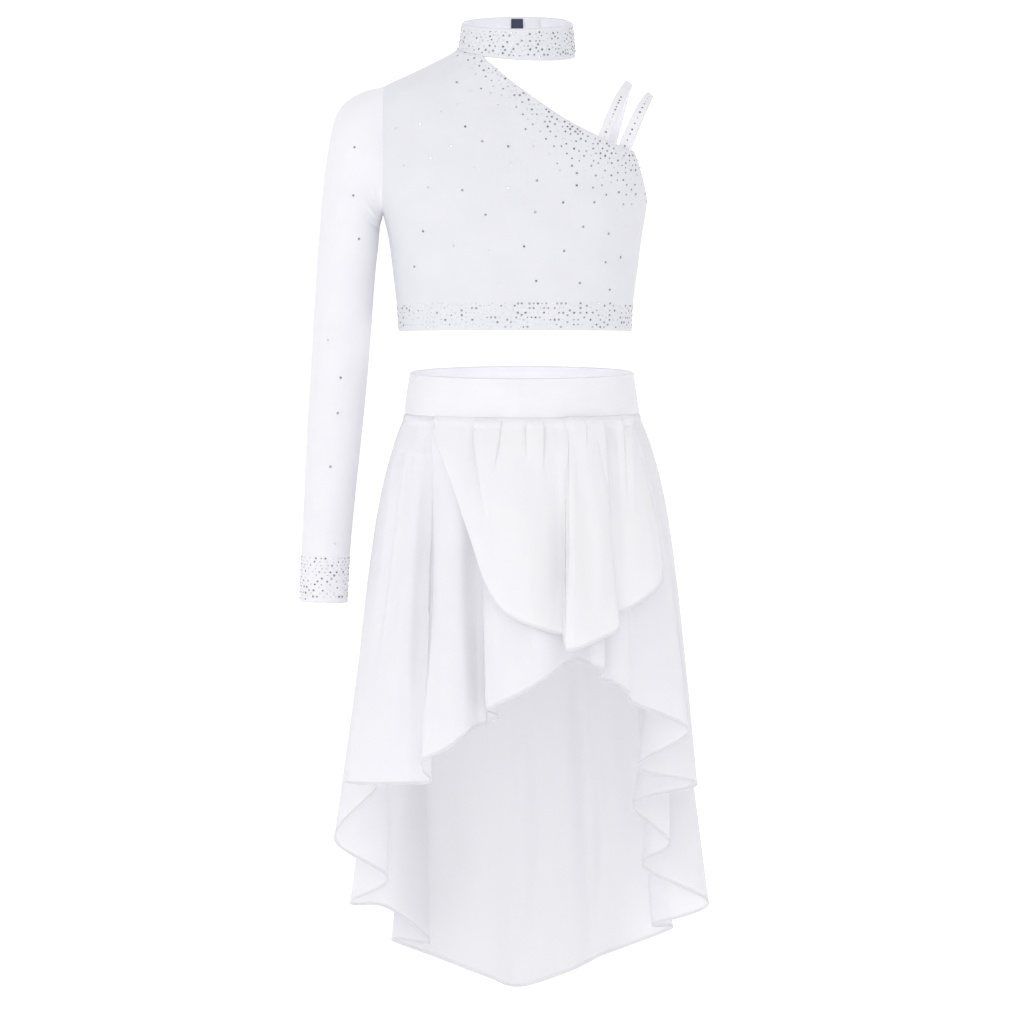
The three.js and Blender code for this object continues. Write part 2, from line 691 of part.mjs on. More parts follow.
const panelCutters = [
  sideSeamCutter(),
  collarSeamCutter(),
  necklineCutter(),
  bareArmholeCutter(),
  sleeveSeamCutter(-1),
];
add("top_front", cut(torsoPanel(-90, 90), ...panelCutters), KNIT_LOOK);
add("top_back", cut(torsoPanel(90, 270), ...panelCutters), KNIT_LOOK);
add("sleeve", cut(sleeveWall(), sleeveSeamCutter(1)), KNIT_LOOK);
add("collar", collarWall(), KNIT_LOOK);
add("neck_label", labelWall(), LABEL_LOOK);
for (const [name, places] of Object.entries(straps)) {
  add(name, strapWall(places), KNIT_LOOK);
}
add("waistband", waistbandWall(), BAND_LOOK);
add("skirt_front", longPanel(leftSeam, rightSeam), SKIRT_LOOK);
add("skirt_back", longPanel(rightSeam, hemFolds.length), SKIRT_LOOK);
add("skirt_overlay", petalPanel(), SKIRT_LOOK);

export default root;
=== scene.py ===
"""Dance crop top and skirt set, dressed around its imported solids.

Shapes are worked out in millimetres, as the cloth is cut and measured, and turned into metres when
a mesh is made. +X is the picture's right, -Y the front, +Z up.
"""
import math

import bpy
import numpy as np
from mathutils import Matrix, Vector


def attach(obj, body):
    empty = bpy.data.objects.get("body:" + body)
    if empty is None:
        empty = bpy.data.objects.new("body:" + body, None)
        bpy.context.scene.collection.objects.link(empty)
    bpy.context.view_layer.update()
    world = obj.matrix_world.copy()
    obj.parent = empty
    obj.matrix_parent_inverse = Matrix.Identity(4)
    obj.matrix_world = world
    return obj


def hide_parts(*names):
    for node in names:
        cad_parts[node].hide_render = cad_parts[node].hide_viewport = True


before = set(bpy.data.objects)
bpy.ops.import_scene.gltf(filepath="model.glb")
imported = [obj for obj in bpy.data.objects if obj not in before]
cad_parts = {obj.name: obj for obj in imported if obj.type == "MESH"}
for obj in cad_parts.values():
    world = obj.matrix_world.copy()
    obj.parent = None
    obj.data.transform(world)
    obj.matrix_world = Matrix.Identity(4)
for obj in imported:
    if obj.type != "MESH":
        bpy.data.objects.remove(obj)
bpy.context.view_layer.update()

# Camera and studio.
# A long lens six metres off and a little above the waist, a pale floor well under the hanging
# set, and soft light from all round with a large lamp high on the left.
METRE = 0.001  # one millimetre, in metres
CAMERA_REACH = 6.0
CAMERA_RISE = math.radians(4)
AIM = Vector((-0.009, 0, -0.127))
SENSOR = 36.0
VIEW_WIDTH = 0.9216  # what the camera sees across at its aim


def placed(name, data):
    """An object in the scene."""
    made = bpy.data.objects.new(name, data)
    bpy.context.scene.collection.objects.link(made)
    return made


camera = placed("camera", bpy.data.cameras.new("camera"))
camera.data.sensor_width = SENSOR
camera.data.lens = SENSOR * CAMERA_REACH / VIEW_WIDTH
camera.data.clip_end = 60
camera.location = AIM + CAMERA_REACH * Vector((0, -math.cos(CAMERA_RISE), math.sin(CAMERA_RISE)))
camera.rotation_euler = (math.pi / 2 - CAMERA_RISE, 0, 0)
bpy.context.scene.camera = camera
bpy.context.scene.view_settings.view_transform = "Standard"


def colour(*parts):
    """A colour with its alpha."""
    return (*parts, 1.0)


class Shade:
    """A socket of a material. Numbers are worked with as in any sum, and each step adds a node."""

    def __init__(self, tree, socket=None):
        self.tree = tree
        self.socket = socket

    def node(self, kind, inputs=None, out=0, **settings):
        """An output of a new node, from the values or links of its sockets and its own settings."""
        made = self.tree.nodes.new(kind)
        for name, value in settings.items():
            setattr(made, name, value)
        for name, value in (inputs or {}).items():
            if isinstance(value, Shade):
                self.tree.links.new(value.socket, made.inputs[name])
            else:
                made.inputs[name].default_value = value
        return Shade(self.tree, made.outputs[out] if made.outputs else None)

    def maths(self, operation, *values):
        """A Math node on some numbers or sockets."""
        return self.node("ShaderNodeMath", dict(enumerate(values)), operation=operation)

    def __add__(self, other):
        return self.maths("ADD", self, other)

    __radd__ = __add__

    def __mul__(self, other):
        return self.maths("MULTIPLY", self, other)

    __rmul__ = __mul__

    def wave(self, length):
        """A smooth wave from 0 to 1 along this number, one for each length."""
        return self.maths("SINE", self * (2 * math.pi / length)) * 0.5 + 0.5

    def between(self, low, high):
        """0 where this number is under low, 1 over high, and smooth between them."""
        inputs = {"Value": self, "From Min": low, "From Max": high}
        return self.node("ShaderNodeMapRange", inputs, interpolation_type="SMOOTHSTEP")

    def tint(self, first, second):
        """The first colour where this number is 0 and the second where it is 1."""
        return self.node("ShaderNodeMix", {"Factor": self, 6: first, 7: second}, out=2, data_type="RGBA")

    def axis(self, number):
        """The X, Y or Z of this place, by its number."""
        return self.node("ShaderNodeSeparateXYZ", {"Vector": self}, out=number)

    def bump(self, strength, distance):
        """What this height does to a shader's Normal."""
        return self.node("ShaderNodeBump", {"Height": self, "Strength": strength, "Distance": distance})


def new_finish(name):
    """A new material without nodes, and a Shade to build it with."""
    finish = bpy.data.materials.new(name)
    finish.use_nodes = True
    finish.node_tree.nodes.clear()
    return finish, Shade(finish.node_tree)


def surfaced(build, inputs):
    """Ends a finish with its main shader."""
    surface = build.node("ShaderNodeBsdfPrincipled", inputs)
    build.node("ShaderNodeOutputMaterial", {"Surface": surface})


def plain_object(name, points, faces, finish):
    """A mesh object from points in metres."""
    mesh = bpy.data.meshes.new(name)
    mesh.from_pydata([tuple(point) for point in points], [], faces)
    mesh.update()
    mesh.materials.append(finish)
    return placed(name, mesh)


FLOOR = -0.86
FLOOR_FRONT, FLOOR_SIDE = -9.0, 9.0
WALL, WALL_TOP = 7.2, 9.0  # where the floor curves up behind, and how high it goes
CURVE, CURVE_STEPS = 1.6, 16
HAZE = 0.3, 0.7  # the part of a noise that its patches are taken from

studio_white, build = new_finish("studio_white")
paper = build.node("ShaderNodeTexNoise", {"Scale": 3.0, "Detail": 3.0}).between(*HAZE)
paper = paper.tint(colour(0.93, 0.93, 0.935), colour(0.96, 0.96, 0.963))
white_glow = {"Emission Color": colour(1, 1, 1), "Emission Strength": 0.26}
surfaced(build, {"Base Color": paper, "Roughness": 0.9, **white_glow})

profile = [(FLOOR_FRONT, FLOOR)]
for step in range(CURVE_STEPS + 1):
    turn = math.pi / 2 * step / CURVE_STEPS
    profile.append((WALL + CURVE * math.sin(turn), FLOOR + CURVE * (1 - math.cos(turn))))
profile.append((WALL + CURVE, WALL_TOP))
sweep = [(side, y, z) for y, z in profile for side in (-FLOOR_SIDE, FLOOR_SIDE)]
strips = [(2 * i, 2 * i + 1, 2 * i + 3, 2 * i + 2) for i in range(len(profile) - 1)]
backdrop = plain_object("studio_floor", sweep, strips, studio_white)
for face in backdrop.data.polygons:
    face.use_smooth = True

world = bpy.data.worlds.new("studio")
bpy.context.scene.world = world
world.use_nodes = True
world.node_tree.nodes.clear()
sky = Shade(world.node_tree)
height = sky.node("ShaderNodeTexCoord").axis(2)
dome = height.between(-0.6, 0.8).tint(colour(0.48, 0.485, 0.505), colour(1.0, 1.0, 1.0))
glow = sky.node("ShaderNodeBackground", {"Color": dome, "Strength": 0.93})
sky.node("ShaderNodeOutputWorld", {"Surface": glow})


def lamp(name, kind, place, power):
    """A lamp of some kind at a place, and its settings."""
    settings = bpy.data.lights.new(name, kind)
    settings.energy = power
    made = placed(name, settings)
    made.location = place
    return made, settings


for name, place, size, power in (
    ("lamp_high_left", (-2.2, -3.0, 2.4), 1.8, 19),
    ("lamp_front", (-0.4, -4.6, 0.7), 2.2, 16),
):
    made, settings = lamp(name, "AREA", place, power)
    settings.size = size
    made.rotation_euler = (AIM - Vector(place)).to_track_quat("-Z", "Y").to_euler()

# Small soft lamps in the hollows of the set, so that its inside isn't left dark.
for name, place, size, power in (
    ("lamp_in_waist", (0, 0, -0.012), 0.05, 0.13),
    ("lamp_in_collar", (-0.004, 0, 0.29), 0.02, 0.024),
    ("lamp_under_straps", (0.07, -0.004, 0.215), 0.02, 0.03),
):
    made, settings = lamp(name, "POINT", place, power)
    settings.shadow_soft_size = size
    made.visible_camera = False
    made.visible_transmission = False

# Front and back of the crop top.
# Two panels of matt stretch knit, sewn together at the side and shoulder seams. The slanting
# neckline, the bare armhole and the hem are turned under and stitched down.
KNIT = 1.1  # thickness of the knit
TORSO_MIDDLE = -5
ARMHOLE_SEAM = -124
SEAM_GAP = 0.3  # left between two pieces that are sewn together
TORSO_SECTIONS = [  # z, left, right, front, back, square, frontRise, backRise
    (36, -110, 97.5, 72, 67, 2.3, 4, 0), (64, -112.5, 99.5, 75, 69, 2.3, 3, 0),
    (91, -115.5, 103, 78, 71, 2.3, 1, 0), (118, -119, 106.5, 80, 73, 2.3, 0, 0),
    (140, -124, 110, 80, 75, 2.4, 0, 0), (160, -130, 112.5, 79, 76, 2.5, 0, 0),
    (190, -134, 114, 75, 76, 2.5, 0, 0), (220, -135, 114, 67, 73, 2.4, 0, 0),
    (242, -132, 112, 58, 66, 2.3, 0, 1), (254, -124, 104, 53, 59, 2.2, -1, 2),
    (266, -99, 86, 50, 53, 2.1, -3, 3), (277, -76, 64, 47.5, 48.5, 2, -5, 5),
    (285, -61, 50, 46, 46.5, 2, -5.6, 5.6), (291, -55, 46, 45, 45, 2, -5.6, 5.6),
]
COLLAR_FOOT = 285.3
COLLAR_SLANT, COLLAR_LEAN = -0.06, 0.123  # how it rises to the right and to the back, for each mm
NECKLINE = [(-37, 284), (-29, 276), (-11, 261), (16, 241), (42, 224), (69, 210), (85, 202.5), (99, 197)]
BARE_ARMHOLE = (224, 47, 73)  # height of its middle, half its width and half its height
BARE_ARMHOLE_FROM = 40  # it only cuts the cloth to the right of this


def along(table, at):
    """Rows of a table at places between its first column's values, on a smooth curve."""
    table = np.asarray(table, float)
    at = np.asarray(at, float)
    keys = table[:, 0]
    last = len(keys) - 1
    i = np.clip(np.searchsorted(keys, at, side="right") - 1, 0, last - 1)
    before, after = np.maximum(i - 1, 0), np.minimum(i + 2, last)
    a, b, c, d = (table[k] for k in (before, i, i + 1, after))
    span = keys[i + 1] - keys[i]
    t = np.clip((at - keys[i]) / span, 0, 1)[..., None]
    slope_in = (c - a) * (span / (keys[i + 1] - keys[before]))[..., None]
    slope_out = (d - b) * (span / (keys[after] - keys[i]))[..., None]
    return (
        (2 * t**3 - 3 * t**2 + 1) * b
        + (t**3 - 2 * t**2 + t) * slope_in
        + (3 * t**2 - 2 * t**3) * c
        + (t**3 - t**2) * slope_out
    )


def rows_between(rows, at, first=0):
    """Rows between some rows that are counted from first, on a smooth curve."""
    rows = np.asarray(rows, float)
    table = np.column_stack([first + np.arange(len(rows)), rows.reshape(len(rows), -1)])
    return along(table, at)[..., 1:]


def ridge(value, middle, width):
    """1 at a value's middle and near 0 past its width."""
    return np.exp(-(((value - middle) / width) ** 2))


def signed_power(value, exponent):
    """A number raised to a power with its sign kept."""
    return np.sign(value) * np.abs(value) ** exponent


def torso_point(turn, z):
    """Points of the crop top at a height and an angle, 0 in front and 90 at the picture's right."""
    row = along(TORSO_SECTIONS, z)
    _, left, right, front, back, square, front_rise, back_rise = np.moveaxis(row, -1, 0)
    sideways = signed_power(np.sin(np.radians(turn)), 2 / square)
    forward = signed_power(np.cos(np.radians(turn)), 2 / square)
    half = np.where(sideways < 0, TORSO_MIDDLE - left, right - TORSO_MIDDLE)
    depth = np.where(forward > 0, front, back)
    rise = np.where(forward > 0, front_rise, back_rise)
    return np.stack(
        [TORSO_MIDDLE + half * sideways, -depth * forward, z + rise * np.abs(forward)], axis=-1
    )


def lengths(vectors):
    """How long each vector is."""
    return np.linalg.norm(vectors, axis=-1)


def unit(vectors):
    """Vectors with a length of 1."""
    return vectors / np.maximum(lengths(vectors)[..., None], 1e-9)


def walked_along(points):
    """How far along a line each of its points lies."""
    return np.concatenate([[0], np.cumsum(lengths(np.diff(points, axis=0)))])


def even_turns(start, end, count, ring):
    """Angles from start to end whose points on a ring are the same way apart."""
    fine = np.linspace(start, end, 1500)
    walked = walked_along(ring(fine))
    return np.interp(np.linspace(0, walked[-1], count + 1), walked, fine)


class Cloth:
    """A sheet of cloth as points in the middle of its thickness, with the way out and its own grain."""

    def __init__(self, points, closed=False, relief=None):
        """points is a grid seen from outside, its rows going down and its columns to the right."""
        rows, columns = points.shape[:2]
        if relief is not None:
            points = points + relief[..., None] * self.normals_of(points, closed)
        normals = self.normals_of(points, closed)
        across = lengths(np.diff(points, axis=1)).mean(axis=0)
        down = lengths(np.diff(points, axis=0))
        u = np.broadcast_to(np.concatenate([[0], np.cumsum(across)]), (rows, columns))
        v = np.concatenate([np.zeros((1, columns)), np.cumsum(down, axis=0)])
        self.points = points.reshape(-1, 3)
        self.normals = normals.reshape(-1, 3)
        self.grain = np.stack([u, v], axis=-1).reshape(-1, 2)
        spots = np.arange(rows * columns).reshape(rows, columns)
        right = np.roll(spots, -1, axis=1)
        if not closed:
            spots, right = spots[:, :-1], right[:, :-1]
        quads = np.stack([spots[:-1], spots[1:], right[1:], right[:-1]], axis=-1)
        self.faces = [tuple(quad) for quad in quads.reshape(-1, 4).tolist()]

    @staticmethod
    def normals_of(points, closed):
        """The way out at each point of a grid."""
        if closed:
            sideways = np.roll(points, -1, axis=1) - np.roll(points, 1, axis=1)
        else:
            sideways = np.gradient(points, axis=1)
        return unit(np.cross(np.gradient(points, axis=0), sideways))

    def trim(self, outside):
        """Cuts away what lies where outside(points) is over 0, with a clean edge."""
        side = outside(self.points)
        points, normals, grain = list(self.points), list(self.normals), list(self.grain)
        crossings = {}

        def crossing(a, b):
            key = (min(a, b), max(a, b))
            if key not in crossings:
                share = side[key[0]] / (side[key[0]] - side[key[1]])
                for values in (points, normals, grain):
                    values.append(values[key[0]] * (1 - share) + values[key[1]] * share)
                crossings[key] = len(points) - 1
            return crossings[key]

        kept = []
        out = side > 0
        for face in self.faces:
            flags = [out[corner] for corner in face]
            if not any(flags):
                kept.append(face)
            elif not all(flags):
                corners = []
                for k, corner in enumerate(face):
                    after = face[(k + 1) % len(face)]
                    if not out[corner]:
                        corners.append(corner)
                    if out[corner] != out[after]:
                        corners.append(crossing(corner, after))
                if len(corners) > 2:
                    kept.append(tuple(corners))
        used = sorted({corner for face in kept for corner in face})
        place = {old: new for new, old in enumerate(used)}
        self.points = np.array(points)[used]
        self.normals = unit(np.array(normals)[used])
        self.grain = np.array(grain)[used]
        self.faces = [tuple(place[corner] for corner in face) for face in kept]
        return self

    def made(self, name, thick, finish, rounded=0.3, rolled=None):
        """The cloth as a closed object with a rounded edge. thick may vary, and rolled marks its hem."""
        half = np.broadcast_to(np.asarray(thick, float) / 2, len(self.points))[:, None]
        count = len(self.points)
        edges = {}
        for face in self.faces:
            for k, corner in enumerate(face):
                edges[(corner, face[(k + 1) % len(face)])] = True
        rim = [(a, b) for a, b in edges if (b, a) not in edges]
        outward = np.zeros((count, 3))
        for a, b in rim:
            way = np.cross(self.points[b] - self.points[a], self.normals[a])
            outward[a] += way
            outward[b] += way
        rim_points = sorted({corner for edge in rim for corner in edge})
        middle = {corner: 2 * count + k for k, corner in enumerate(rim_points)}
        lip = self.points[rim_points] + unit(outward[rim_points]) * half[rim_points] * 2 * rounded
        shell = np.concatenate([self.points + self.normals * half, self.points - self.normals * half, lip])
        faces = list(self.faces)
        faces += [tuple(corner + count for corner in reversed(face)) for face in self.faces]
        for a, b in rim:
            faces.append((b, a, middle[a], middle[b]))
            faces.append((middle[b], middle[a], a + count, b + count))
        made = plain_object(name, shell * METRE, faces, finish)
        made.data.shade_smooth()
        grain = np.concatenate([self.grain, self.grain, self.grain[rim_points]]) * METRE
        corners = np.zeros(len(made.data.loops), int)
        made.data.loops.foreach_get("vertex_index", corners)
        layer = made.data.uv_layers.new(name="grain")
        layer.data.foreach_set("uv", grain[corners].astype(np.float32).ravel())
        if rolled is not None:
            hem = made.data.attributes.new("rolled", "FLOAT", "POINT")
            hem.data.foreach_set("value", np.concatenate([rolled, rolled, rolled[rim_points]]))
        return made


BOW, ENDS = 0.06, 0.25  # how far a crease bends, for its length, and what is left at its ends


def creases(x, z, lines):
    """Soft troughs and ridges along lines (x, z to x, z, half width, height), tapering at both ends."""
    total = np.zeros(np.broadcast(x, z).shape)
    for x0, z0, x1, z1, width, height in lines:
        long = math.hypot(x1 - x0, z1 - z0)
        way = ((x1 - x0) / long, (z1 - z0) / long)
        on = (x - x0) * way[0] + (z - z0) * way[1]
        share = np.clip(on / long, 0, 1)
        off = (x - x0) * way[1] - (z - z0) * way[0] + BOW * long * np.sin(share * 3)
        past = np.maximum(np.maximum(-on, on - long), 0)
        taper = np.clip(np.sin(share * math.pi), ENDS, 1)
        total += height * taper * np.exp(-((off / width) ** 2) - (past / (1.6 * width)) ** 2)
    return total


def stitched(name, light, dark, build_height):
    """A cloth finish: two tones in soft patches, and a height worked out from the grain."""
    finish, build = new_finish(name)
    grain = build.node("ShaderNodeUVMap", uv_map="grain")
    place = build.node("ShaderNodeTexCoord", out=3)
    cloud = build.node("ShaderNodeTexNoise", {"Vector": place, "Scale": 34.0, "Detail": 4.0})
    height = build_height(build, grain.axis(0), grain.axis(1))
    shade = cloud.between(*HAZE) * 0.7 + height * 0.3
    return finish, build, shade.tint(dark, light), height


def knit_height(build, u, v):
    """Height of the knit: upright wales of small V stitches, with a little unevenness."""
    wale = u.wave(0.00085)
    stitch = (v + wale * 0.0003).wave(0.0007)
    fuzz = build.node("ShaderNodeTexNoise", {"Scale": 900.0, "Detail": 2.0})
    return wale * 0.45 + stitch * 0.3 + fuzz * 0.25


def knit_finish(name, light, dark):
    """The stretch knit: matt, faintly fuzzy, its stitches in a fine bump."""
    finish, build, base, height = stitched(name, light, dark, knit_height)
    soft = {"Sheen Weight": 0.25, "Sheen Roughness": 0.5, "Specular IOR Level": 0.25}
    rough = 0.82 + height * 0.1
    surfaced(build, {"Base Color": base, "Roughness": rough, "Normal": height.bump(0.35, 0.0003), **soft})
    return finish


# The torso and the sleeve are the same knit in lit and shaded copies: the sleeve's copy, also used on the
# straps, is painted lighter, and the torso's copy, also used on the collar, is painted darker.
torso_knit = knit_finish("torso_knit", colour(0.775, 0.778, 0.818), colour(0.75, 0.753, 0.795))
painted_light_knit = knit_finish("painted_light_knit", colour(0.86, 0.853, 0.89), colour(0.835, 0.83, 0.87))

FRONT_CREASES = [
    (-112, 150, -70, 172, 7, -1.1), (-114, 162, -74, 192, 6, 0.8), (-108, 130, -60, 140, 8, -0.8),
    (96, 168, 40, 178, 9, -0.9), (94, 150, 52, 150, 8, 0.7), (86, 60, 30, 92, 12, -1.0),
    (92, 92, 48, 120, 11, 0.7), (-100, 66, -58, 96, 12, -0.8), (-30, 250, -84, 214, 10, 0.7),
    (-96, 236, -62, 262, 7, -0.7), (6, 226, -34, 196, 12, -0.6), (-20, 60, -12, 130, 18, 0.6),
]
BACK_CREASES = [
    (-110, 146, -62, 160, 8, -1.1), (-108, 160, -58, 182, 7, 0.8), (92, 160, 36, 172, 9, -1.0),
    (-20, 70, -8, 180, 14, -1.2), (84, 70, 26, 100, 12, 0.8), (-96, 74, -50, 90, 11, -0.9),
    (-60, 250, -20, 214, 9, 0.7), (30, 120, 64, 130, 12, -0.7),
]
TORSO_COLUMNS, TORSO_ROWS = 150, 118
CHEST = 150.0  # the columns are evenly spaced at this height
HEM_BAND = 24  # how far up the top's hem is turned
HEM_STITCH, STITCH_DEPTH, HEM_SWELL = HEM_BAND * 0.42, 0.5, 0.35  # the row that holds it down


def torso_cloth(start, end, lines):
    """Front or back panel before it is trimmed."""
    bottom, top = TORSO_SECTIONS[0][0], TORSO_SECTIONS[-1][0]
    turns = even_turns(start, end, TORSO_COLUMNS, lambda turn: torso_point(turn, np.full(turn.shape, CHEST)))
    turns = np.union1d(turns, [start, end])
    heights = np.linspace(top, bottom + 3, TORSO_ROWS)
    heights = np.concatenate([heights, bottom + np.array([2.0, 1.0, 0.4, 0])])
    turn, z = np.meshgrid(turns, heights)
    points = torso_point(turn, z)
    hem = points[..., 2] - points[-1:, :, 2]
    relief = creases(points[..., 0], points[..., 2], lines) * np.clip(hem / 12, 0, 1)
    relief += HEM_SWELL * (1 - 1 / (1 + np.exp(-(hem - HEM_STITCH) * 2.2)))
    relief -= STITCH_DEPTH * ridge(hem, HEM_STITCH, 0.9)
    return Cloth(points, relief=relief)


def past_collar(points):
    """Over 0 above the foot of the collar."""
    return points[:, 2] - (COLLAR_FOOT - SEAM_GAP + COLLAR_LEAN * points[:, 1] + COLLAR_SLANT * points[:, 0])


def past_neckline(points):
    """Over 0 above the slanting neckline."""
    return np.minimum(points[:, 2] - neckline_curve(points[:, 0]), points[:, 0] - NECKLINE[0][0])


def neckline_curve(x):
    """Height of the neckline's curve, carried on straight past its ends."""
    table = [(-45, 292), *NECKLINE, (150, 176), (220, 146)]
    return along(table, x)[..., 1]


def past_armhole(points):
    """Over 0 inside the bare armhole."""
    middle, half_width, half_height = BARE_ARMHOLE
    inside = 1 - np.hypot(points[:, 1] / half_width, (points[:, 2] - middle) / half_height)
    return np.minimum(inside * half_width, points[:, 0] - BARE_ARMHOLE_FROM)


def past_sleeve(points):
    """Over 0 beyond the seam of the sleeve."""
    return ARMHOLE_SEAM + SEAM_GAP / 2 - points[:, 0]


def trimmed_panel(start, end, lines):
    """A panel of the crop top with all its edges."""
    panel = torso_cloth(start, end, lines)
    for edge in (past_collar, past_neckline, past_armhole, past_sleeve):
        panel.trim(edge)
    return panel


def dressed(piece, node, slot, **sheet):
    """Puts a visible piece in its solid's place, hiding the solid and hanging the piece from the root."""
    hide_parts(node)
    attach(piece, "root")


front_panel = trimmed_panel(-89.85, 89.85, FRONT_CREASES)
back_panel = trimmed_panel(90.15, 269.85, BACK_CREASES)
top_front = front_panel.made("crop_top_front", KNIT, torso_knit)
top_back = back_panel.made("crop_top_back", KNIT, torso_knit)
for piece, node in ((top_front, "top_front"), (top_back, "top_back")):
    dressed(piece, node, "knit", flat=(0.31, 0.26), held="stretched", area=0.064)

# The long sleeve.
# One piece of the same knit, closed by a seam under the arm, eased into the armhole and turned
# under at the cuff. It hangs nearly straight, with a few soft breaks at the elbow.
SLEEVE_RINGS = [  # outX, outZ, inX, inZ, depth, y
    (-143, 249.5, -126, 136.5, 41, 1), (-159, 239.5, -127.2, 133, 41, 1), (-168, 224, -128, 129, 40, 1),
    (-173, 200, -128.7, 122, 38.5, 1), (-178, 165, -129.6, 111, 36, 0), (-181, 129, -131.2, 97, 34, 0),
    (-184, 90, -133.2, 75, 32, -1), (-187, 41, -136, 36, 30.5, -2), (-190, -10, -140, -13, 29, -3),
    (-193, -60, -145, -62, 27.5, -5), (-195.5, -115, -150.7, -116, 25.5, -8),
    (-198, -166, -155.3, -167, 23.5, -10), (-199.5, -206, -157.3, -207, 22.5, -11),
]
SLEEVE_COLUMNS = 110
ROWS_PER_RING = 14
RING_STEP = 40  # about how far apart the rings are
CUFF_STITCH = 12
ARMPIT, SHOULDER = 140, 254  # heights where the armhole begins and ends
TURN_UNIT = 45  # degrees round the arm that count as one ring, for a crease
SLEEVE_CREASES = [  # turn round the arm, ring, to turn, ring, half width and height
    (60, 8.2, 118, 8.9, 0.16, -1.1), (70, 8.9, 130, 9.4, 0.14, 0.8), (40, 9.5, 104, 9.9, 0.15, -0.9),
    (10, 4.1, 62, 5.2, 0.2, -1.2), (24, 3.2, 78, 4.6, 0.18, 0.9), (330, 4.0, 292, 5.3, 0.2, -1.2),
    (250, 8.4, 306, 9.0, 0.16, -1.1), (262, 9.5, 320, 10.2, 0.15, 0.8), (92, 11.3, 140, 11.7, 0.16, -0.7),
    (62, 12.1, 112, 12.4, 0.14, 0.6),
]


def armhole_outline():
    """The armhole on its seam plane, from the armpit up the front and down the back."""
    ease = 2 * np.linspace(0, 1, 20) ** 2
    middle = np.linspace(ARMPIT + 2.4, SHOULDER - 2.4, 240)
    heights = np.concatenate([ARMPIT + ease, middle, SHOULDER - ease[::-1]])
    row = along(TORSO_SECTIONS, heights)
    _, left, _, front, back, square, front_rise, back_rise = row.T
    reach = np.clip((TORSO_MIDDLE - ARMHOLE_SEAM) / (TORSO_MIDDLE - left), 0, 1)
    side = (1 - reach**square) ** (1 / square)
    up = np.stack([-front * side, heights + front_rise * side], axis=1)
    down = np.stack([back * side, heights + back_rise * side], axis=1)[::-1]
    return np.concatenate([up, down, up[:1]])


def sleeve_rings():
    """Points of every ring of the sleeve at even angles, from inside the armhole to the cuff."""
    outline = armhole_outline()
    walked = walked_along(outline)
    turns = np.arange(SLEEVE_COLUMNS) / SLEEVE_COLUMNS
    seam = np.stack([np.interp(turns * walked[-1], walked, outline[:, k]) for k in (0, 1)], axis=1)
    rings = []
    for shift in (0.2, -1.2):
        rings.append(np.column_stack([np.full(len(turns), ARMHOLE_SEAM - 0.35 + shift), seam]))
    angle = turns * 2 * math.pi
    for out_x, out_z, in_x, in_z, depth, y in SLEEVE_RINGS:
        share = (1 - np.cos(angle)) / 2
        x, z = in_x + (out_x - in_x) * share, in_z + (out_z - in_z) * share
        rings.append(np.column_stack([x, y - depth * np.sin(angle), z]))
    return np.array(rings)[:, ::-1]


rings = sleeve_rings()
ring_steps = np.linspace(0, len(rings) - 1, (len(rings) - 1) * ROWS_PER_RING + 1)
sleeve_points = rows_between(rings, ring_steps).reshape(len(ring_steps), SLEEVE_COLUMNS, 3)
sleeve_turns = np.arange(SLEEVE_COLUMNS)[::-1] * 360 / SLEEVE_COLUMNS
sleeve_turn, sleeve_ring = np.meshgrid(sleeve_turns, ring_steps)
sleeve_lines = [(a / TURN_UNIT, b, c / TURN_UNIT, d, w, h) for a, b, c, d, w, h in SLEEVE_CREASES]
sleeve_relief = creases(sleeve_turn / TURN_UNIT, sleeve_ring, sleeve_lines)
to_cuff = (len(rings) - 1 - sleeve_ring) * RING_STEP
sleeve_relief = sleeve_relief * np.clip(to_cuff / 20, 0, 1)
sleeve_relief -= 0.45 * ridge(to_cuff, CUFF_STITCH, 1.2)
sleeve_cloth = Cloth(sleeve_points, closed=True, relief=sleeve_relief)
sleeve = sleeve_cloth.made("long_sleeve", KNIT, painted_light_knit)
dressed(
    sleeve, "sleeve", "knit",
    flat=(0.25, 0.47), held="stretched", rests_on=["crop_top_front"], area=0.075,
)

# The stand collar.
# The knit folded double into a stiff band round the neck. It closes at the back, where its outer
# end laps over the inner one, and only its left part is sewn to the top.
COLLAR = 1.8
COLLAR_MIDDLE = -4.4
COLLAR_RIM = 311.3
COLLAR_FOOT_SIZE, COLLAR_TOP_SIZE = (51.5, 45.5), (48.8, 43.6)  # half its width and half its depth
COLLAR_INNER_END, COLLAR_LAP = 23, 30
COLLAR_COLUMNS = 190
EDGE_FOLD, EDGE_FOLD_AT = 0.3, 0.1  # the stitched line along both edges, and its share of the height
COLLAR_TURN = math.degrees(1 / COLLAR_FOOT_SIZE[0])  # one mm round the foot, in degrees


def smoothstep(value, low, high):
    """0 under low, 1 over high and smooth between."""
    t = np.clip((value - low) / (high - low), 0, 1)
    return t * t * (3 - 2 * t)


def tapered_ring(turn, part, sizes, out=0):
    """X and y on an upright band whose ellipse changes from one size at part 0 to another at 1."""
    turn = np.radians(turn)
    width, depth = (first + (last - first) * part + out for first, last in zip(*sizes))
    return width * np.sin(turn), -depth * np.cos(turn)


def collar_point(turn, part, out):
    """Points of the collar: part 0 is its foot and 1 its rim."""
    x, y = tapered_ring(turn, part, (COLLAR_FOOT_SIZE, COLLAR_TOP_SIZE), out)
    x = COLLAR_MIDDLE + x
    foot = COLLAR_FOOT + COLLAR_SLANT * x
    return np.stack([x, y, foot + (COLLAR_RIM - foot) * part + COLLAR_LEAN * y], axis=-1)


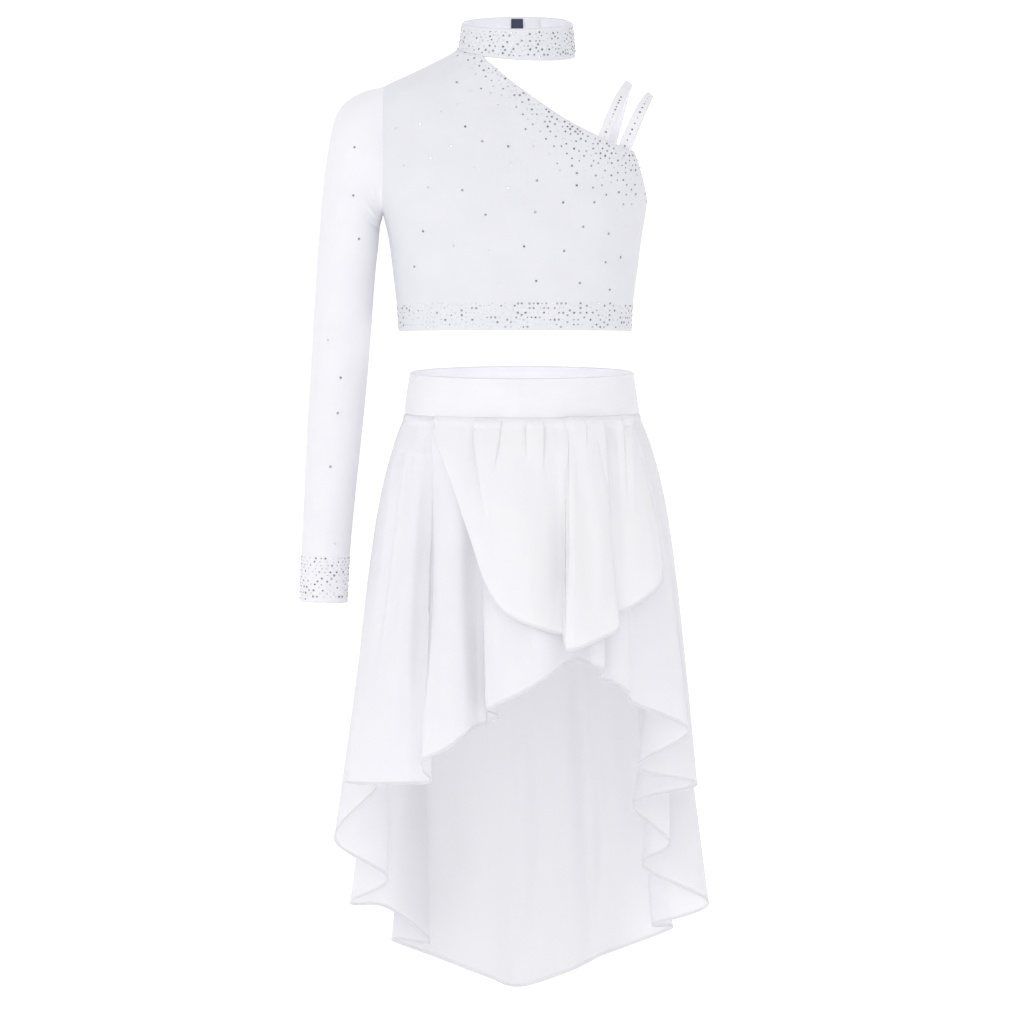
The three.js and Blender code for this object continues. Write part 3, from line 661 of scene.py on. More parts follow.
inner_end = 180 - COLLAR_INNER_END * COLLAR_TURN
outer_end = inner_end - 360 - COLLAR_LAP * COLLAR_TURN
collar_turn, collar_part = np.meshgrid(
    np.linspace(outer_end, inner_end, COLLAR_COLUMNS),
    np.concatenate([[1, 0.985], np.linspace(0.95, 0.05, 17), [0.015, 0]]),
)
collar_out = smoothstep(outer_end + 60 - collar_turn, 0, 25) * (COLLAR + 0.5)
ripple = 0.25 * np.sin(np.radians(collar_turn * 5 + 40)) * np.sin(collar_part * math.pi)
edge_fold = EDGE_FOLD * ridge(collar_part, 1 - EDGE_FOLD_AT, 0.025)
edge_fold = edge_fold + EDGE_FOLD * ridge(collar_part, EDGE_FOLD_AT, 0.025)
collar_cloth = Cloth(collar_point(collar_turn, collar_part, collar_out), relief=ripple - edge_fold)
collar = collar_cloth.made("stand_collar", COLLAR, torso_knit, rounded=0.5)
dressed(
    collar, "collar", "knit",
    flat=(0.33, 0.027), held="stretched", rests_on=["crop_top_front"], area=0.0088,
)

# The label.
# A plain dark woven patch, folded over and stitched inside the back of the collar.
LABEL_SIZE = (11, 18)
LABEL, LABEL_BELOW = 1.0, 1  # the room it takes, and how far its top is below the rim
LABEL_CLEAR = 0.4
label_height = COLLAR_RIM - COLLAR_FOOT
label_top = 1 - LABEL_BELOW / label_height
label_foot = label_top - LABEL_SIZE[1] / label_height
label_spread = LABEL_SIZE[0] / 2 * COLLAR_TURN
label_turn, label_part = np.meshgrid(
    np.linspace(180 + label_spread, 180 - label_spread, 16), np.linspace(label_top, label_foot, 24)
)
label_in = -(COLLAR + LABEL) / 2 - LABEL_CLEAR


def label_height_of(build, u, v):
    """Height of the label's close weave."""
    return u.wave(0.0005) * 0.5 + v.wave(0.0004) * 0.5


label_finish, build, base, height = stitched(
    "label_weave", colour(0.035, 0.045, 0.10), colour(0.018, 0.024, 0.06), label_height_of
)
label_soft = {"Roughness": 0.75, "Sheen Weight": 0.2}
surfaced(build, {"Base Color": base, "Normal": height.bump(0.4, 0.0002), **label_soft})
label_cloth = Cloth(collar_point(label_turn, label_part, label_in))
label = label_cloth.made("neck_patch", LABEL * 0.8, label_finish, rounded=0.4)
dressed(label, "neck_label", "label", flat=(0.011, 0.018), held="stretched", rests_on=["stand_collar"])

# The shoulder straps.
# Two flat straps of folded knit, sewn behind the neckline in front and behind and arched over the
# bare shoulder.
STRAP, STRAP_WIDTH = 1.6, 7.5
STRAP_STEPS, STRAP_COLUMNS = 120, 9
STRAP_TUCK = 8  # how far its ends go down behind the neckline
STRAP_CLEAR = 0.8  # and how far behind the cloth they lie
SOLID_KNIT = 1.4  # thickness of the knit in the solids
STRAP_SPREAD, STRAP_RISE, STRAP_IN = 36, 0.7, 0.62  # its bend before and behind the shoulder's top
STRAP_LEAN = 0.5  # how far its outer edge is lower, for each mm to the right
STRAP_DRAWN_IN = 0.55  # the stretched strap is narrower on top of the shoulder
STRAPS = {  # frontX, backX, topX, topZ
    "strap_inner": (71.5, 81, 96, 258),
    "strap_outer": (90, 94, 115, 248),
}


def torso_depth(x, z, side):
    """Y of the crop top at a place seen from the front (side -1) or the back (side 1)."""
    row = along(TORSO_SECTIONS, z)
    _, left, right, front, back, square, _, _ = np.moveaxis(row, -1, 0)
    half = np.where(x < TORSO_MIDDLE, TORSO_MIDDLE - left, right - TORSO_MIDDLE)
    reach = np.minimum(1, np.abs(x - TORSO_MIDDLE) / half)
    depth = np.where(side < 0, front, back)
    return side * depth * (1 - reach**square) ** (1 / square)


def inside_depth(x, z, side, thick):
    """The same, moved inwards so that something of that thickness lies just inside the cloth."""
    slope_x = (torso_depth(x + 1, z, side) - torso_depth(x - 1, z, side)) / 2
    slope_z = (torso_depth(x, z + 1, side) - torso_depth(x, z - 1, side)) / 2
    clear = (SOLID_KNIT + thick) / 2 + STRAP_CLEAR
    return torso_depth(x, z, side) - side * clear * np.sqrt(1 + slope_x**2 + slope_z**2)


def smooth_line(points, count):
    """Points along a smooth curve through some points, even along its length."""
    fine = rows_between(points, np.linspace(0, len(points) - 1, 900))
    walked = walked_along(fine)
    at = np.linspace(0, walked[-1], count)
    return np.stack([np.interp(at, walked, fine[:, k]) for k in range(3)], axis=1)


def strap_edge(places, side):
    """Points that one edge of a strap goes through, from the front to the back."""
    front_x, back_x, top_x, top_z = places
    shift = side * STRAP_WIDTH / 2
    neck_x, neck_z = np.array(NECKLINE, float).T

    def foot(x, facing, below):
        z = np.interp(x, neck_x, neck_z) - shift * STRAP_LEAN - below
        return (x + shift, float(inside_depth(x + shift, z, facing, STRAP)), z)

    def shoulder(x, y, share):
        z = np.interp(x, neck_x, neck_z) * (1 - share) + top_z * share
        return (x + (top_x - x) * STRAP_IN + shift, y, z - shift * STRAP_LEAN)

    return [
        foot(front_x, -1, STRAP_TUCK),
        foot(front_x, -1, STRAP_TUCK / 2),
        foot(front_x, -1, 0),
        shoulder(front_x, -STRAP_SPREAD, STRAP_RISE),
        (top_x + shift * STRAP_DRAWN_IN, 0, top_z - shift * STRAP_LEAN),
        shoulder(back_x, STRAP_SPREAD, STRAP_RISE),
        foot(back_x, 1, 0),
        foot(back_x, 1, STRAP_TUCK / 2),
        foot(back_x, 1, STRAP_TUCK),
    ]


strap_cloths = {}
for strap_name, places in STRAPS.items():
    left, right = (smooth_line(strap_edge(places, side), STRAP_STEPS) for side in (-1, 1))
    share = np.linspace(0, 1, STRAP_COLUMNS)[None, :, None]
    strap_points = left[:, None] * (1 - share) + right[:, None] * share
    strap_cloths[strap_name] = Cloth(strap_points)
    strap = strap_cloths[strap_name].made("shoulder_" + strap_name, STRAP, painted_light_knit, rounded=0.5)
    panels = ["crop_top_front", "crop_top_back"]
    dressed(strap, strap_name, "knit", flat=(0.0105, 0.19), held="stretched", rests_on=panels, area=0.0016)

# The crystals.
# Foil-backed cut glass, flat behind and about 2 mm across, glued on one at a time: close together
# along the neckline, hem, cuff and collar, in one row up each strap, and thinly over the rest.
STONE_RADIUS = (0.65, 1.1)
SINGLE_RADIUS = (1.05, 1.2)
EDGE_GAP = 2.9  # between stones at the neckline
BAND_GAP = 3.2  # between stones in the hem, cuff and collar
NECK_REACH = (24, 48)  # how far the close stones go from the neckline, at the collar and the straps
CUFF_TOP = -166
STRAP_ROW_TOP, STRAP_STONES = 246, 12
TRIES = 0.9  # places tried for each square mm
DARK_SLEEVE, DARK_MIDDLE, DARK_RANGE = 0.4, 0.42, (0.14, 0.66)  # share of stones painted with a dark reflection
DARK_SPREAD, DARK_SINGLE = 200, 0.25  # mm to the right for all of them to, and more for a single one
DARK_REFLECTION, BRIGHT_REFLECTION, REFLECTION_SPREAD = 0.3, 0.72, 0.2  # painted reflection of a stone, and of its facets around that
FRONT_STONES = [  # x and z of the single stones
    (-112, 218), (-90, 221), (-80, 192), (-63, 202), (-43, 184), (-50, 220), (-36, 207), (-84, 166),
    (-53, 163), (-13, 165), (-10, 187), (-13, 203), (10, 202), (12, 173), (37, 153), (33, 182), (49, 168),
    (63, 154), (48, 180), (-33, 143), (12, 144), (-60, 114), (-28, 110), (1, 114), (37, 110), (54, 131),
    (76, 125), (73, 99), (87, 103), (-21, 82), (12, 84), (51, 82), (77, 75), (-96, 96), (-104, 186),
    (-58, 240), (-72, 232), (-46, 252), (-58, 258), (-88, 128), (92, 132),
]
BACK_STONES = [
    (-102, 206), (-78, 224), (-70, 186), (-44, 206), (-24, 190), (-90, 158), (-52, 166), (-8, 172),
    (10, 196), (22, 160), (44, 176), (58, 150), (-30, 138), (8, 136), (-72, 122), (-40, 104), (-2, 108),
    (34, 116), (60, 122), (82, 132), (78, 96), (-92, 92), (-58, 78), (-18, 80), (20, 84), (54, 82),
    (86, 74), (-60, 240), (-36, 232), (-50, 256),
]
SLEEVE_FRONT_STONES = [
    (-149, 201), (-151, 158), (-146, 119), (-173, 28), (-162, -6), (-165, -37), (-172, -85), (-168, -152),
]
SLEEVE_BACK_STONES = [
    (-150, 188), (-158, 140), (-148, 92), (-168, 50), (-160, -20), (-174, -64), (-166, -120),
]
STONE_SIDES = 8
STONE_RINGS = ((1, -0.1, 0), (1, 0.14, 0), (0.55, 0.46, 0.5))  # radius, height, turn in sides
chance = np.random.default_rng(7)


def scattered(cloth, gap_at, thick):
    """Places on a cloth's outer face, each its own gap from the others, with the way out and a radius."""
    quads = np.array([face for face in cloth.faces if len(face) == 4])
    quads = quads[np.isfinite(gap_at(cloth.points[quads].mean(axis=1)))]
    corners = cloth.points[quads]
    areas = lengths(np.cross(corners[:, 2] - corners[:, 0], corners[:, 3] - corners[:, 1])) / 2
    tries = chance.choice(len(quads), int(areas.sum() * TRIES), p=areas / areas.sum())
    places, ways = corners[tries, 0], cloth.normals[quads[tries, 0]]
    kept = []
    for i, gap in enumerate(gap_at(places)):
        if np.isfinite(gap) and (not kept or lengths(places[kept] - places[i]).min() > gap):
            kept.append(i)
    return places[kept] + ways[kept] * thick / 2, ways[kept], chance.uniform(*STONE_RADIUS, len(kept))


def singly(cloth, spots, side, thick):
    """The same by x and z, on the front (side -1) or back (side 1) of a cloth."""
    facing = np.flatnonzero(cloth.normals[:, 1] * side > 0.2)
    flat = cloth.points[facing][:, [0, 2]]
    found = facing[[int(np.argmin(lengths(flat - spot))) for spot in spots]]
    sizes = chance.uniform(*SINGLE_RADIUS, len(found))
    return cloth.points[found] + cloth.normals[found] * thick / 2, cloth.normals[found], sizes


crystal_finish, build = new_finish("foiled_crystal")
# Painted reflections: each facet's colour stands in for what it mirrors, dark or bright.
painted_reflection = build.node("ShaderNodeVertexColor", layer_name="facet")
mirror = {"Metallic": 0.75, "Roughness": 0.16, "Coat Weight": 0.5, "Coat Roughness": 0.05}
surfaced(build, {"Base Color": painted_reflection, **mirror})


def crystals(name, *sets):
    """One mesh of cut crystals, each a low crown with a flat top, and each facet with its own painted
    reflection, dark or bright.
    """
    places, ways, radius = (np.concatenate(parts) for parts in zip(*sets))
    count, n = len(places), STONE_SIDES
    radius = radius[:, None, None]
    aside = unit(np.cross(ways, np.where(np.abs(ways[:, 2:]) < 0.9, (0, 0, 1.0), (1.0, 0, 0))))
    beside = np.cross(ways, aside)
    spin = chance.uniform(0, math.pi, (count, 1))
    stone_points = []
    for share, rise, shift in STONE_RINGS:
        angle = spin + (np.arange(n) + shift) * 2 * math.pi / n
        flat = np.cos(angle)[..., None] * aside[:, None] + np.sin(angle)[..., None] * beside[:, None]
        stone_points.append(places[:, None] + radius * (share * flat + rise * ways[:, None]))
    stone_points = np.concatenate(stone_points, axis=1).reshape(-1, 3)
    facets = [tuple(range(2 * n, 3 * n)), tuple(reversed(range(n)))]
    for a in range(n):
        b = (a + 1) % n
        facets += [(a, b, b + n, a + n), (a + n, b + n, a + 2 * n), (b + n, b + 2 * n, a + 2 * n)]
    faces = [tuple(corner + stone * 3 * n for corner in facet) for stone in range(count) for facet in facets]
    stones = plain_object(name, stone_points * METRE, faces, crystal_finish)
    x = places[:, :1]
    # More stones to the right get a dark painted reflection, as the light falls on them there.
    dark_reflection_share = np.where(x < ARMHOLE_SEAM, DARK_SLEEVE, np.clip(DARK_MIDDLE + x / DARK_SPREAD, *DARK_RANGE))
    dark = chance.random((count, 1)) < dark_reflection_share + (radius[:, :, 0] > 1) * DARK_SINGLE
    reflection_tone = np.where(dark, DARK_REFLECTION, BRIGHT_REFLECTION)
    reflection_tone = reflection_tone + chance.uniform(-REFLECTION_SPREAD, REFLECTION_SPREAD, (count, len(facets)))
    tints = np.stack([reflection_tone, reflection_tone, reflection_tone * 1.05, np.ones_like(reflection_tone)], axis=-1).reshape(-1, 4)
    layer = stones.data.color_attributes.new("facet", "FLOAT_COLOR", "CORNER")
    corners = np.tile([len(facet) for facet in facets], count)
    layer.data.foreach_set("color", np.repeat(tints, corners, axis=0).astype(np.float32).ravel())
    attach(stones, "root")


neck_line = np.array([(x, neckline_curve(float(x))) for x in range(-36, 100, 3)])
hem_row = TORSO_SECTIONS[0]


def top_gap(points):
    """Gap between stones on the front or back: close at the hem and neckline, none far from both."""
    off = points[:, None, [0, 2]] - neck_line
    away = lengths(off).min(axis=1)
    reach = NECK_REACH[0] + (NECK_REACH[1] - NECK_REACH[0]) * smoothstep(points[:, 0], -30, 75)
    neck = np.where((away > 1.8) & (away < reach), EDGE_GAP + 7 * (away / reach) ** 1.6, np.inf)
    above = points[:, 2] - hem_row[0] - hem_row[6] * np.clip(-points[:, 1] / hem_row[3], 0, 1)
    return np.where((above > 1.6) & (above < HEM_BAND), BAND_GAP, neck)


def cuff_gap(points):
    """Gap between stones on the sleeve, all of them in the cuff."""
    low = SLEEVE_RINGS[-1][3] + 2.2
    return np.where((points[:, 2] > low) & (points[:, 2] < CUFF_TOP), BAND_GAP, np.inf)


def collar_gap(points):
    """Gap between stones on the collar, clear of its edges."""
    foot = COLLAR_FOOT + COLLAR_SLANT * points[:, 0]
    part = (points[:, 2] - COLLAR_LEAN * points[:, 1] - foot) / (COLLAR_RIM - foot)
    return np.where(np.abs(part - 0.5) < 0.44, BAND_GAP, np.inf)


for name, panel, spots, side in (
    ("crystals_front", front_panel, FRONT_STONES, -1),
    ("crystals_back", back_panel, BACK_STONES, 1),
):
    crystals(name, scattered(panel, top_gap, KNIT), singly(panel, spots, side, KNIT))
crystals(
    "crystals_sleeve",
    scattered(sleeve_cloth, cuff_gap, KNIT),
    singly(sleeve_cloth, SLEEVE_FRONT_STONES, -1, KNIT),
    singly(sleeve_cloth, SLEEVE_BACK_STONES, 1, KNIT),
)
crystals("crystals_collar", scattered(collar_cloth, collar_gap, COLLAR))
strap_rows = []
for strap_cloth in strap_cloths.values():
    grid = (STRAP_STEPS, STRAP_COLUMNS, 3)
    middle = strap_cloth.points.reshape(grid)[:, STRAP_COLUMNS // 2]
    outward_ways = -strap_cloth.normals.reshape(grid)[:, STRAP_COLUMNS // 2]
    x, y, z = middle.T
    run = np.flatnonzero((z > neckline_curve(x) + 2) & (z < STRAP_ROW_TOP) & (y < 0))
    spots = run[np.linspace(0, len(run) - 1, STRAP_STONES).round().astype(int)]
    sizes = chance.uniform(*STONE_RADIUS, len(spots))
    strap_rows.append((middle[spots] + outward_ways[spots] * STRAP / 2, outward_ways[spots], sizes))
crystals("crystals_straps", *strap_rows)

# The waistband.
# Wide soft elastic with fine ribs round it, joined into a ring. Its lower edge is covered by the
# gathered top of the skirt.
BAND = 2.2
WAIST_TOP, WAIST_FOOT = (99.6, 79), (104.6, 83)  # half its width and half its depth
WAIST_RIM, WAIST_EDGE = -2, -36.5
WAIST_LEANS = (0.022, 0.012)  # how its rim and its foot rise to the back, for each mm
BAND_COLUMNS = 260


def waist_point(turn, part):
    """Points of the waistband: part 0 is its rim and 1 its foot."""
    x, y = tapered_ring(turn, part, (WAIST_TOP, WAIST_FOOT))
    lean = WAIST_LEANS[0] + (WAIST_LEANS[1] - WAIST_LEANS[0]) * part
    z = WAIST_RIM + (WAIST_EDGE - WAIST_RIM) * part + lean * y
    return np.stack([x, y, z], axis=-1)


def elastic_height(build, u, v):
    """Height of the elastic: fine ribs round the band and a finer upright weave."""
    uneven = build.node("ShaderNodeTexNoise", {"Scale": 220.0, "Detail": 2.0})
    return v.wave(0.00125) * 0.55 + u.wave(0.0007) * 0.25 + uneven * 0.2


elastic_finish, build, base, height = stitched(
    "ribbed_elastic", colour(0.885, 0.88, 0.91), colour(0.855, 0.85, 0.885), elastic_height
)
band_soft = {"Roughness": 0.5 + height * 0.15, "Sheen Weight": 0.3, "Specular IOR Level": 0.35}
surfaced(build, {"Base Color": base, "Normal": height.bump(0.5, 0.0004), **band_soft})

band_turn, band_part = np.meshgrid(
    np.arange(BAND_COLUMNS) * 360 / BAND_COLUMNS,
    np.concatenate([[0, 0.02], np.linspace(0.05, 0.95, 22), [0.98, 1]]),
)
band_relief = 0.35 * np.sin(np.radians(band_turn * 3 + 20)) * np.sin(band_part * math.pi)
band_relief -= 0.35 * ridge(band_part, 0.1, 0.025)
band_cloth = Cloth(waist_point(band_turn, band_part), closed=True, relief=band_relief)
waistband = band_cloth.made("waistband_elastic", BAND, elastic_finish, rounded=0.5)
dressed(waistband, "waistband", "elastic", flat=(0.58, 0.036), held="stretched")

# The long layer of the skirt.
# A front and a back panel of thin sheer cloth, gathered into the band and joined at the side
# seams. The hem is short in front and long behind, and finished with a narrow rolled edge.
SHEER = 0.4
ROLLED, ROLLED_WIDTH = 1.1, 1.6  # the rolled hem
ROLLED_ROWS = (2.4, 1.9, 1.4, 0.9, 0.4, 0)  # the last rows of the cloth, above the hem
HIP, HIP_DROP = 23, 55  # how far the skirt stands out at the hips, and how soon
SLOPE, SWAY = 0.085, 0.013  # its flare and its shift to the right, for each mm down
LONG_IN = -0.8  # the long layer is sewn in behind the petal
PANEL_COLUMNS = 330
SIDE_GAP = 0.007  # left between the panels, in folds
SEAM = 0.1  # between the band and the skirt
HEM_FOLDS = [  # turn, x, y, z, late
    (-86, -158, -30, -369, 1.3), (-70, -131, -68, -366, 0.9), (-56, -105, -84, -363, 0.7),
    (-50, -81, -88, -361, 0.7), (-47.5, -91, -114, -342, 0.7), (-40, -68, -127, -328, 1),
    (-30, -49, -124, -314, 1.2), (-24, -36, -102, -308, 1.2), (-22, -21, -99, -302, 1.2),
    (-19.5, -28, -120, -293, 1.2), (-6, -2, -134, -278, 1.2), (7, 20, -132, -265, 1.2),
    (20, 45, -113, -250, 1), (28, 62, -127, -253, 1.2), (33.5, 73, -124, -258, 1.4),
    (36, 68, -107, -268, 1.4), (42, 82, -108, -271, 1.2), (49, 95, -98, -282, 1), (55, 100, -84, -292, 0.8),
    (69, 149, -54, -320, 1), (79, 103, -31, -355, 1.6), (88, 158, -6, -373, 0.9), (97, 100, 16, -394, 1.8),
    (106, 135, 38, -431, 1.2), (114, 111, 58, -456, 1.8), (124, 171, 80, -492, 0.7),
    (133, 122, 100, -515, 1.6), (140, 139, 117, -520, 1.2), (150, 98, 127, -538, 1.2),
    (160, 70, 143, -551, 1.2), (168, 44, 134, -563, 1), (180, -2, 148, -579, 1), (192, -31, 138, -569, 1),
    (207, -76, 142, -552, 1), (219, -120, 124, -532, 1), (225, -84, 106, -532, 1.4),
    (230, -124, 93, -498, 1.2), (236, -157, 80, -492, 1.1), (245, -122, 54, -466, 1.6),
    (255, -170, 26, -426, 1.4), (265, -131, -4, -376, 1.4),
]
LEFT_SEAM, RIGHT_SEAM = 0, 19
ROLL, ROLL_DROP, ROLL_HALF = 1.5, 3.4, 2.4  # the seam allowance that swells under the band
FRONT_GATHERS = [  # x at the seam, depth, how far down it runs, half width
    (-98, 2.6, 30, 4), (-89, 1.5, 14, 3), (-80, 2.2, 40, 4), (-60, 1.2, 12, 3), (-47, 1.4, 18, 3),
    (-38, 3.2, 70, 4), (-28, 1.4, 16, 2.6), (-20, 2.6, 30, 3.4), (-7, 1.2, 12, 2.6), (4, 2.4, 26, 3),
    (12, 1.2, 12, 2.4), (19, 2.2, 18, 3), (30, 1.2, 14, 2.6), (39, 4.2, 95, 3.6), (47, 1.0, 10, 2.4),
    (55, 2.2, 16, 3), (66, 1.2, 14, 2.6), (76, 2.6, 42, 3.6), (85, 1.2, 14, 2.6), (92, 3.8, 64, 4),
    (99, 1.4, 20, 3),
]
FRONT_PLEATS = [  # x and z of both ends, half width, lap, step
    (-79, -34, -92, -420, 8, 4.4, 2.4), (-108, -70, -134, -300, 7, 4.0, -2.6),
    (-34, -146, -30, -400, 6, 4.2, 1.5), (8, -210, 12, -290, 6, 1.4, 1.0),
]
FRONT_TROUGHS = [  # soft folds that run down the front
    (-92, -40, -118, -372, 12, -4), (-102, -240, -106, -372, 7, 2),
]
BACK_PLEATS = [  # the gathers pulled tightest behind
    (-80, -38, -88, -120, 5, 2.2, 1.4), (-57, -38, -62, -84, 4.5, 2.0, -1.2),
    (-41, -38, -42, -104, 5, 2.4, 1.6), (-17, -38, -19, -74, 4, 1.8, -1.0), (2, -38, 5, -128, 5, 2.4, 1.6),
    (21, -38, 22, -80, 4, 1.8, -1.1), (38, -38, 43, -110, 5, 2.2, -1.4), (63, -38, 66, -78, 4.5, 2.0, 1.2),
    (82, -38, 91, -118, 5, 2.2, -1.4),
]
BACK_TROUGHS = [  # soft folds down the middle of the back
    (-3, -250, -4, -600, 10, -3), (14, -260, 16, -590, 10, 1.6), (50, -240, 55, -600, 6, -3.2),
    (-46, -250, -50, -590, 16, 2), (104, -300, 110, -560, 10, -3), (-84, -280, -90, -560, 12, 2),
]
BACK_GATHERS, BACK_GATHER_DEPTH, BACK_GATHER_RUN = 18, 2.4, 38  # in half a turn, depth, drop
FINE_GATHERS, FINE_DEPTH, FINE_RUN = 53, 0.7, 14  # the finer ones between them
PULL, FAN = 1.4, 0.08  # how hard the front is pulled in, and how its gathers widen on the way down
PLEAT_HOLDS, PLEAT_REACH = 0.45, 14  # share of its length that a pleat keeps, and how far it lifts


def outward(turn):
    """Flat direction straight out of the waist ellipse."""
    turn = np.radians(turn)
    x, y = np.sin(turn) / WAIST_FOOT[0], -np.cos(turn) / WAIST_FOOT[1]
    return unit(np.stack([x, y, np.zeros_like(x)], axis=-1))


def gather(turn, drop):
    """Depth of the gathers pulled into the waist seam."""
    turn = np.radians(turn)
    x = WAIST_FOOT[0] * np.sin(turn)
    swell = smoothstep(drop, ROLL_DROP + 1, ROLL_DROP + 8)
    back = np.cos(turn * BACK_GATHERS * 2 + 1.1 * np.sin(turn * 5)) * BACK_GATHER_DEPTH / 2
    fine = np.cos(turn * FINE_GATHERS + 1.7 * np.sin(turn * 3))
    back = back + FINE_DEPTH * fine * np.exp(-drop / FINE_RUN)
    back = back * swell * np.exp(-drop / BACK_GATHER_RUN)
    front = np.zeros_like(x)
    for place, depth, run, width in FRONT_GATHERS:
        near = ridge(x, place, width + drop * FAN)
        front = front - PULL * depth * near * swell * np.exp(-drop / run)
    blend = smoothstep(np.cos(turn), -0.05, 0.1)
    return front * blend + back * (1 - blend)


def skirt_base(turn, drop, out):
    """Points of the smooth skirt without its hem folds, out from the seam by so much."""
    points = waist_point(turn, 1.0)
    stand = HIP * (1 - np.exp(-drop / HIP_DROP)) + SLOPE * drop
    stand = stand + ROLL * ridge(drop, ROLL_DROP, ROLL_HALF)
    points = points + outward(turn) * (stand + out + gather(turn, drop))[..., None]
    points[..., 0] += SWAY * drop
    points[..., 2] -= drop + SEAM * 2
    return points


hem_folds = np.array(HEM_FOLDS, float)
full_turn = np.array([360, 0, 0, 0, 0])
hem_folds = np.concatenate([hem_folds[-2:] - full_turn, hem_folds, hem_folds[:3] + full_turn])


def long_point(spot, part):
    """Points of the long layer: spot counts its folds, part is 0 at the band and 1 at the hem."""
    turn, x, y, z, late = np.moveaxis(rows_between(hem_folds, spot, -2), -1, 0)
    length = WAIST_EDGE - SEAM * 2 - z
    points = skirt_base(turn, length * part, LONG_IN)
    hem = skirt_base(turn, length, LONG_IN)
    opened = part**late
    points[..., 0] += (x - hem[..., 0]) * opened
    points[..., 1] += (y - hem[..., 1]) * opened
    return points


PAINTED_SHADE_REACH = (0.085, 0.135)  # where the painted shade over the back panel's middle fades, in metres to each side
ROLLED_HEM_SHADE = (0.81, 0.805, 0.83)  # the rolled hem, where the cloth is several layers thick, painted greyer as painted shade in its roll


def sheer_finish(name, light, dark, cover, glow, middle=None):
    """The sheer cloth: a fine open weave that lets light and what is behind it through, with painted shade
    in its middle if a middle tone is given.
    """
    def weave_height(build, u, v):
        slub = build.node("ShaderNodeTexNoise", {"Scale": 420.0, "Detail": 3.0})
        return (u + slub * 0.0002).wave(0.0005) * 0.4 + v.wave(0.0005) * 0.4 + slub * 0.2

    finish, build, base, height = stitched(name, light, dark, weave_height)
    # Painted shade: the middle of the cloth, away from the sides, is tinted towards the greyer middle tone.
    if middle:
        x = build.node("ShaderNodeTexCoord", out=3).axis(0)
        base = x.maths("ABSOLUTE", x).between(*PAINTED_SHADE_REACH).tint(middle, base)
    rolled = build.node("ShaderNodeAttribute", attribute_name="rolled", out=2)
    # Painted shade: the rolled hem is tinted greyer.
    base = rolled.tint(base, colour(*ROLLED_HEM_SHADE))
    bump = height.bump(0.25, 0.0002)
    soft = {"Roughness": 0.72 + height * 0.1, "Sheen Weight": 0.2, "Specular IOR Level": 0.2}
    front = build.node("ShaderNodeBsdfPrincipled", {"Base Color": base, "Normal": bump, **soft})
    through = build.node("ShaderNodeBsdfTranslucent", {"Color": light, "Normal": bump})
    cloth = build.node("ShaderNodeMixShader", {0: glow, 1: front, 2: through})
    clear = build.node("ShaderNodeBsdfTransparent", {"Color": colour(1, 1, 1)})
    covered = height * 0.16 + rolled * (1 - cover) + (cover - 0.08)
    surface = build.node("ShaderNodeMixShader", {0: covered, 1: clear, 2: cloth})
    build.node("ShaderNodeOutputMaterial", {"Surface": surface})
    return finish


sheer_front = sheer_finish("sheer_front", colour(0.955, 0.95, 0.975), colour(0.93, 0.925, 0.955), 0.72, 0.28)
# The back panel's middle is painted greyer, as painted shade.
painted_shade_grey = colour(0.835, 0.833, 0.86)
back_tones = colour(0.945, 0.943, 0.965), colour(0.925, 0.923, 0.95)
sheer_back = sheer_finish("sheer_back", *back_tones, 0.78, 0.28, painted_shade_grey)


def pleated(points, lines, lift):
    """Lays cloth in knife pleats along lines (x, z to x, z, half width, lap, step to the right).

    With a lift of 1 they only stand out from the cloth, and with -1 they only sink in.
    """
    x, z = points[..., 0], points[..., 2]
    ways = Cloth.normals_of(points, False)
    moved = points.copy()
    for x0, z0, x1, z1, half, lap, step in lines:
        down = (z - z0) / (z1 - z0)
        off = (x - x0 - (x1 - x0) * np.clip(down, 0, 1)) / half
        full = smoothstep(z0 - z, 0, 6) * (1 - smoothstep(down, PLEAT_HOLDS, 1))
        inside = np.abs(off) < 1
        moved[..., 0] -= full * lap * np.where(inside, np.sin(off * math.pi), 0)
        rise = step * np.sin(np.clip(off, -1, 1) * math.pi / 2) + lift * abs(step)
        rise = rise * full * np.exp(-np.maximum(np.abs(off) - 1, 0) * half / PLEAT_REACH)
        moved += rise[..., None] * ways
    return moved


def hem_rows(count, length, power):
    """Shares of the way down, with close rows at the rolled hem."""
    body = np.linspace(0, 1, count) ** power * (1 - 4 / length)
    return np.concatenate([body, 1 - np.array(ROLLED_ROWS) / length])


def folded(points, lines, where=1):
    """A grid of cloth with soft folds along lines, where they are wanted."""
    relief = creases(points[..., 0], points[..., 2], lines) * where
    return points + relief[..., None] * Cloth.normals_of(points, False)


def hem_share(points):
    """1 in the rolled hem of a grid of cloth and 0 above it."""
    below = lengths(np.diff(points, axis=0))[::-1].cumsum(axis=0)[::-1]
    above_hem = np.concatenate([below, np.zeros((1, points.shape[1]))]).ravel()
    return 1 - smoothstep(above_hem, ROLLED_WIDTH - 0.3, ROLLED_WIDTH + 0.5)


def hemmed(name, points, rolled, finish):
    """Sheer cloth as an object, rolled up into a cord along its hem."""
    return Cloth(points).made(name, SHEER + (ROLLED - SHEER) * rolled, finish, rounded=0.5, rolled=rolled)


def long_panel(start, end, rows, pleats, troughs, side):
    """Points of a panel of the long layer between two side seams, on the front (-1) or back (1)."""
    spots = np.linspace(start, end, PANEL_COLUMNS)
    spots[[0, -1]] += (SIDE_GAP, -SIDE_GAP)
    spot, part = np.meshgrid(spots, hem_rows(rows, 330, 1.15))
    points = pleated(long_point(spot, part), pleats, -1)
    return folded(points, troughs, points[..., 1] * side > 0)


